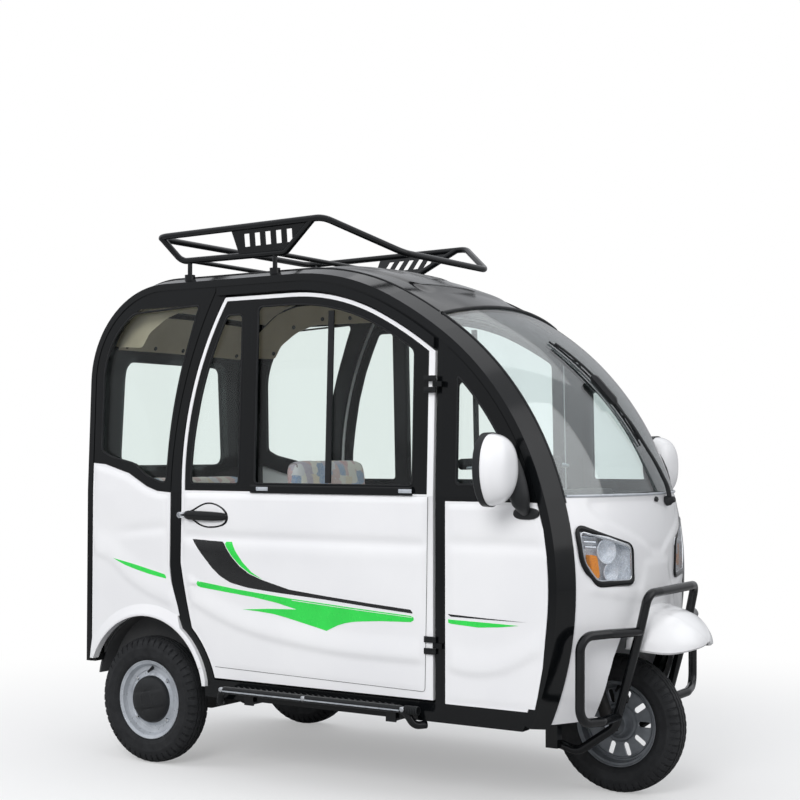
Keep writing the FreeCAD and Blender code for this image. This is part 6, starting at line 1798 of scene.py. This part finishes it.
class WheelsOperator(bpy.types.Operator):
    """Turn the rims, hubs, caps and valves"""

    bl_idname = "tricycle.wheels"
    bl_label = "Wheels"

    def execute(self, context):
        for side, word in SIDES:
            self.rear_wheel(side, word)
        centre = Vector((front(0), 0, WHEEL_RADIUS * MM))
        for side, word in SIDES:
            axis = Vector((0, side, 0))
            build = Build()
            for profile in (FRONT_LIP, FRONT_RING, FRONT_HUB):
                build.turned(centre, axis, WHEEL_PLANE, profile, 80, MM, closed=True)
            build.make("front_rim_rings_" + word, "steel_grey", "wheel_front", crease=32)
            nut = Build()
            nut.lathe(centre + axis * 0.0795, axis,
                      [(0, 0), (0, 0.013), (0.008, 0.013), (0.01, 0.01), (0.01, 0)], 6)
            nut.lathe(centre + axis * 0.0885, axis, [(0, 0), (0, 0.008), (0.010, 0.0075), (0.011, 0)], 20)
            nut.make("front_axle_nut_" + word, "steel_silver", "steering", crease=30)
        self.valve(centre + Vector((0, -0.008, 0.112)), Vector((0, -1, 0)), "front_valve", "wheel_front")
        return {"FINISHED"}

    def rear_wheel(self, side, word):
        """The rim, hub cap, four nuts and valve of one rear wheel."""
        body = "wheel_rear_" + word
        centre = spot(0, side * HALF_TRACK, WHEEL_RADIUS)
        axis = Vector((0, side, 0))
        rim = Build().turned(centre, axis, WHEEL_PLANE, RIM, 96, MM, closed=True)
        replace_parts(rim.make("rear_rim_" + word, "steel_silver", body, crease=32), "rear_wheel_" + word)
        self.cap(centre, side, "rear_cap_" + word, body)
        nuts = Build()
        for j in range(4):
            turn = math.radians(45 + 90 * j)
            at = centre + axis * 0.010 + Vector((math.cos(turn), 0, math.sin(turn))) * 0.0945
            nuts.lathe(at, axis, [(0, 0), (0, 0.0075), (0.006, 0.0075), (0.009, 0.005), (0.0095, 0)], 6)
        nuts.make("rear_nuts_" + word, "chrome", body, "grey_steel", crease=30)
        self.valve(centre + axis * 0.016 + Vector((0, 0, 0.106)), axis, "rear_valve_" + word, body)

    def cap(self, centre, side, name, body):
        """The domed hub cap: a raised band between two grooves, and shallow facets round it."""
        dome = ((0, 44), (40, 43), (60, 40), (70, 36), (77, 30), (80, 24), (81, 14))
        radii = (0.4, 8, 16, 22, 24, 26, 28, 30, 34, 40, 48, 56, 62, 68, 72, 75, 77.5, 79.5, 80.6, 81)
        rows = []
        for radius in radii:
            row = []
            for j in range(96):
                turn = 2 * math.pi * j / 96
                u, v = radius * math.cos(turn - 0.2), radius * math.sin(turn - 0.2)
                lift = 2.4 * (1 - soft_step(25, 28, abs(v))) - 1.6 * bump_at(abs(v), 30, 2.0)
                facets = soft_step(32, 34, abs(v)) - soft_step(58, 62, radius)
                lift += 0.8 * facets * (math.cos(4 * turn) > 0)
                lift += 1.3 * bump_at(max(abs(u) / 24, abs(v) / 17), 1.0, 0.07) * (abs(v) < 24)
                height = table_at(dome, radius) + lift * (1 - soft_step(70, 76, radius))
                at = Vector((radius * math.cos(turn), side * height, radius * math.sin(turn)))
                row.append(centre + at * MM)
            rows.append(row)
        Build().ring(rows).make(name, "moulded_black", body, crease=40)

    def valve(self, at, axis, name, body):
        lean_out = (axis + Vector((0, 0, -0.5))).normalized()
        Build().lathe(at, lean_out, VALVE, 16).make(name, "seal", body, crease=40)


# Cotton over foam, blown up a little by a pressure in place of the stuffing.
CLOTH_FRAMES = 20
CLOTH = {
    "quality": 4, "mass": 0.25, "tension_stiffness": 14, "compression_stiffness": 14, "shear_stiffness": 6,
    "bending_stiffness": 0.4, "use_pressure": True, "uniform_pressure_force": 4,
}


def baked(obj):
    """A mesh of what an object's modifiers make of it now."""
    return bpy.data.meshes.new_from_object(obj.evaluated_get(bpy.context.evaluated_depsgraph_get()))


def stuffed(pad, voxel, reach):
    """Fills a cover like a bladder: remeshed, blown up as cloth for twenty frames, and held to a
    farthest move, all in millimetres."""
    scene = bpy.context.scene
    net = pad.modifiers.new("net", "REMESH")
    net.mode = "VOXEL"
    net.voxel_size = voxel * MM
    fresh = baked(pad)
    pad.modifiers.clear()
    pad.data = fresh
    start = [v.co.copy() for v in fresh.vertices]
    cloth = pad.modifiers.new("cover", "CLOTH")
    for name, value in CLOTH.items():
        setattr(cloth.settings, name, value)
    cloth.settings.effector_weights.gravity = 0
    cloth.collision_settings.use_collision = False
    cloth.point_cache.frame_start = 1
    cloth.point_cache.frame_end = CLOTH_FRAMES
    for step in range(1, CLOTH_FRAMES + 1):
        scene.frame_set(step)
    blown = baked(pad)
    pad.modifiers.clear()
    for vertex, at in zip(blown.vertices, start):
        move = vertex.co - at
        vertex.co = at + move * min(1.0, reach * MM / max(move.length, 1e-6))
    pad.data = blown
    scene.frame_set(1)


CUSHIONS = (
    # name, node, outline in (reach, z), half width, seams to either side of the middle, fill
    ("driver_cushion", "driver_seat", [(476, 614), (874, 614), (874, 676), (476, 676)], 217, 72, 0.6),
    ("driver_back", None, [(403, 708), (469, 702), (430, 1041), (381, 1039)], 217, 72, 0.5),
    ("bench_cushion", "rear_bench", [(-168, 574), (278, 574), (278, 636), (-168, 636)], 356, 119, 0.6),
    ("bench_back", None, [(-255, 579), (-189, 579), (-190, 652), (-217, 976), (-264, 976)], 356, 119, 0.5),
)


class CushionsOperator(bpy.types.Operator):
    """Stuff and cover the driver's seat and the passengers' bench"""

    bl_idname = "tricycle.cushions"
    bl_label = "Cushions"

    def execute(self, context):
        for name, cad, outline, half, seam, fill in CUSHIONS:
            pad = self.pad(name, outline, half)
            stuffed(pad, 6.0, 7.0)
            self.sew(pad, (-seam, seam))
            self.piping(pad, outline, half)
            if cad:
                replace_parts(pad, cad)
        return {"FINISHED"}

    def pad(self, name, outline, half):
        """A crowned closed pad whose sides pull in towards its ends."""
        loop = round_flat(outline, 24, 5)
        fine = []
        for a, b in zip(loop, loop[1:] + loop[:1]):
            parts = max(1, int(math.dist(a, b) / 14))
            fine.extend((lerp(a[0], b[0], i / parts), lerp(a[1], b[1], i / parts)) for i in range(parts))
        middle = [sum(p[axis] for p in fine) / len(fine) for axis in (0, 1)]
        rows = []
        for t in steps_between(-1, 1, 56):
            shrink = 0.74 + 0.26 * max(0.0, 1 - abs(t) ** 9) ** 0.5
            rows.append([spot(lerp(middle[0], x, shrink), t * half, lerp(middle[1], z, shrink))
                         for x, z in fine])
        return Build().ring(rows).make(name, "patchwork", crease=75)

    def sew(self, pad, seams):
        """Draws the cover in along its channel seams, with puckers about 24 mm apart."""
        mesh = pad.data
        middle = sum((v.co for v in mesh.vertices), Vector()) / len(mesh.vertices)
        for vertex in mesh.vertices:
            for seam in seams:
                pull = bump_at(vertex.co.y / MM, seam, 6)
                if pull > 0.01:
                    along = (vertex.co.x + vertex.co.z) / MM
                    depth = 5.0 + 1.2 * math.sin(along * math.pi / 12)
                    inward = middle - vertex.co
                    inward.y = 0
                    vertex.co += inward.normalized() * depth * pull * MM
        mesh.polygons.foreach_set("use_smooth", [True] * len(mesh.polygons))
        mesh.update()

    def piping(self, pad, outline, half):
        """The corded seam round both ends of the cover."""
        cords = Build()
        loop = round_flat(outline, 22, 4)
        for side, word in SIDES:
            path = [pad.closest_point_on_mesh(spot(x, side * (half - 13), z))[1] for x, z in loop]
            cords.tube(path, 0.0026, 6, closed=True)
        cords.make(pad.name + "_piping", "seam_cord")


OPERATORS = (StageOperator, FinishOperator, SidePanelsOperator, StripesOperator, NoseOperator,
             HeadlampsOperator, RoofOperator, ScreenOperator, TailOperator, WindowTrimOperator,
             HandlesOperator, HingesOperator, MirrorsOperator, StepsOperator, TyresOperator, WheelsOperator,
             CabOperator, CushionsOperator)


class TricyclePanel(bpy.types.Panel):
    """Buttons for each group of pieces"""

    bl_idname = "VIEW3D_PT_tricycle"
    bl_label = "Enclosed Tricycle"
    bl_space_type = "VIEW_3D"
    bl_region_type = "UI"
    bl_category = "Tricycle"

    def draw(self, context):
        sizes = context.scene.tricycle_sizes
        for name in sizes.__annotations__:
            self.layout.prop(sizes, name)
        for operator in OPERATORS:
            self.layout.operator(operator.bl_idname)


CLASSES = (TricycleSizes, TricycleColours) + OPERATORS + (TricyclePanel,)


def register():
    for one in CLASSES:
        bpy.utils.register_class(one)
    bpy.types.Scene.tricycle_sizes = bpy.props.PointerProperty(type=TricycleSizes)
    bpy.types.Scene.tricycle_colours = bpy.props.PointerProperty(type=TricycleColours)


def unregister():
    del bpy.types.Scene.tricycle_colours
    del bpy.types.Scene.tricycle_sizes
    for one in reversed(CLASSES):
        bpy.utils.unregister_class(one)


def main():
    register()
    for operator in OPERATORS:
        getattr(bpy.ops.tricycle, operator.bl_idname.split(".")[1])()


if __name__ == "__main__":
    main()
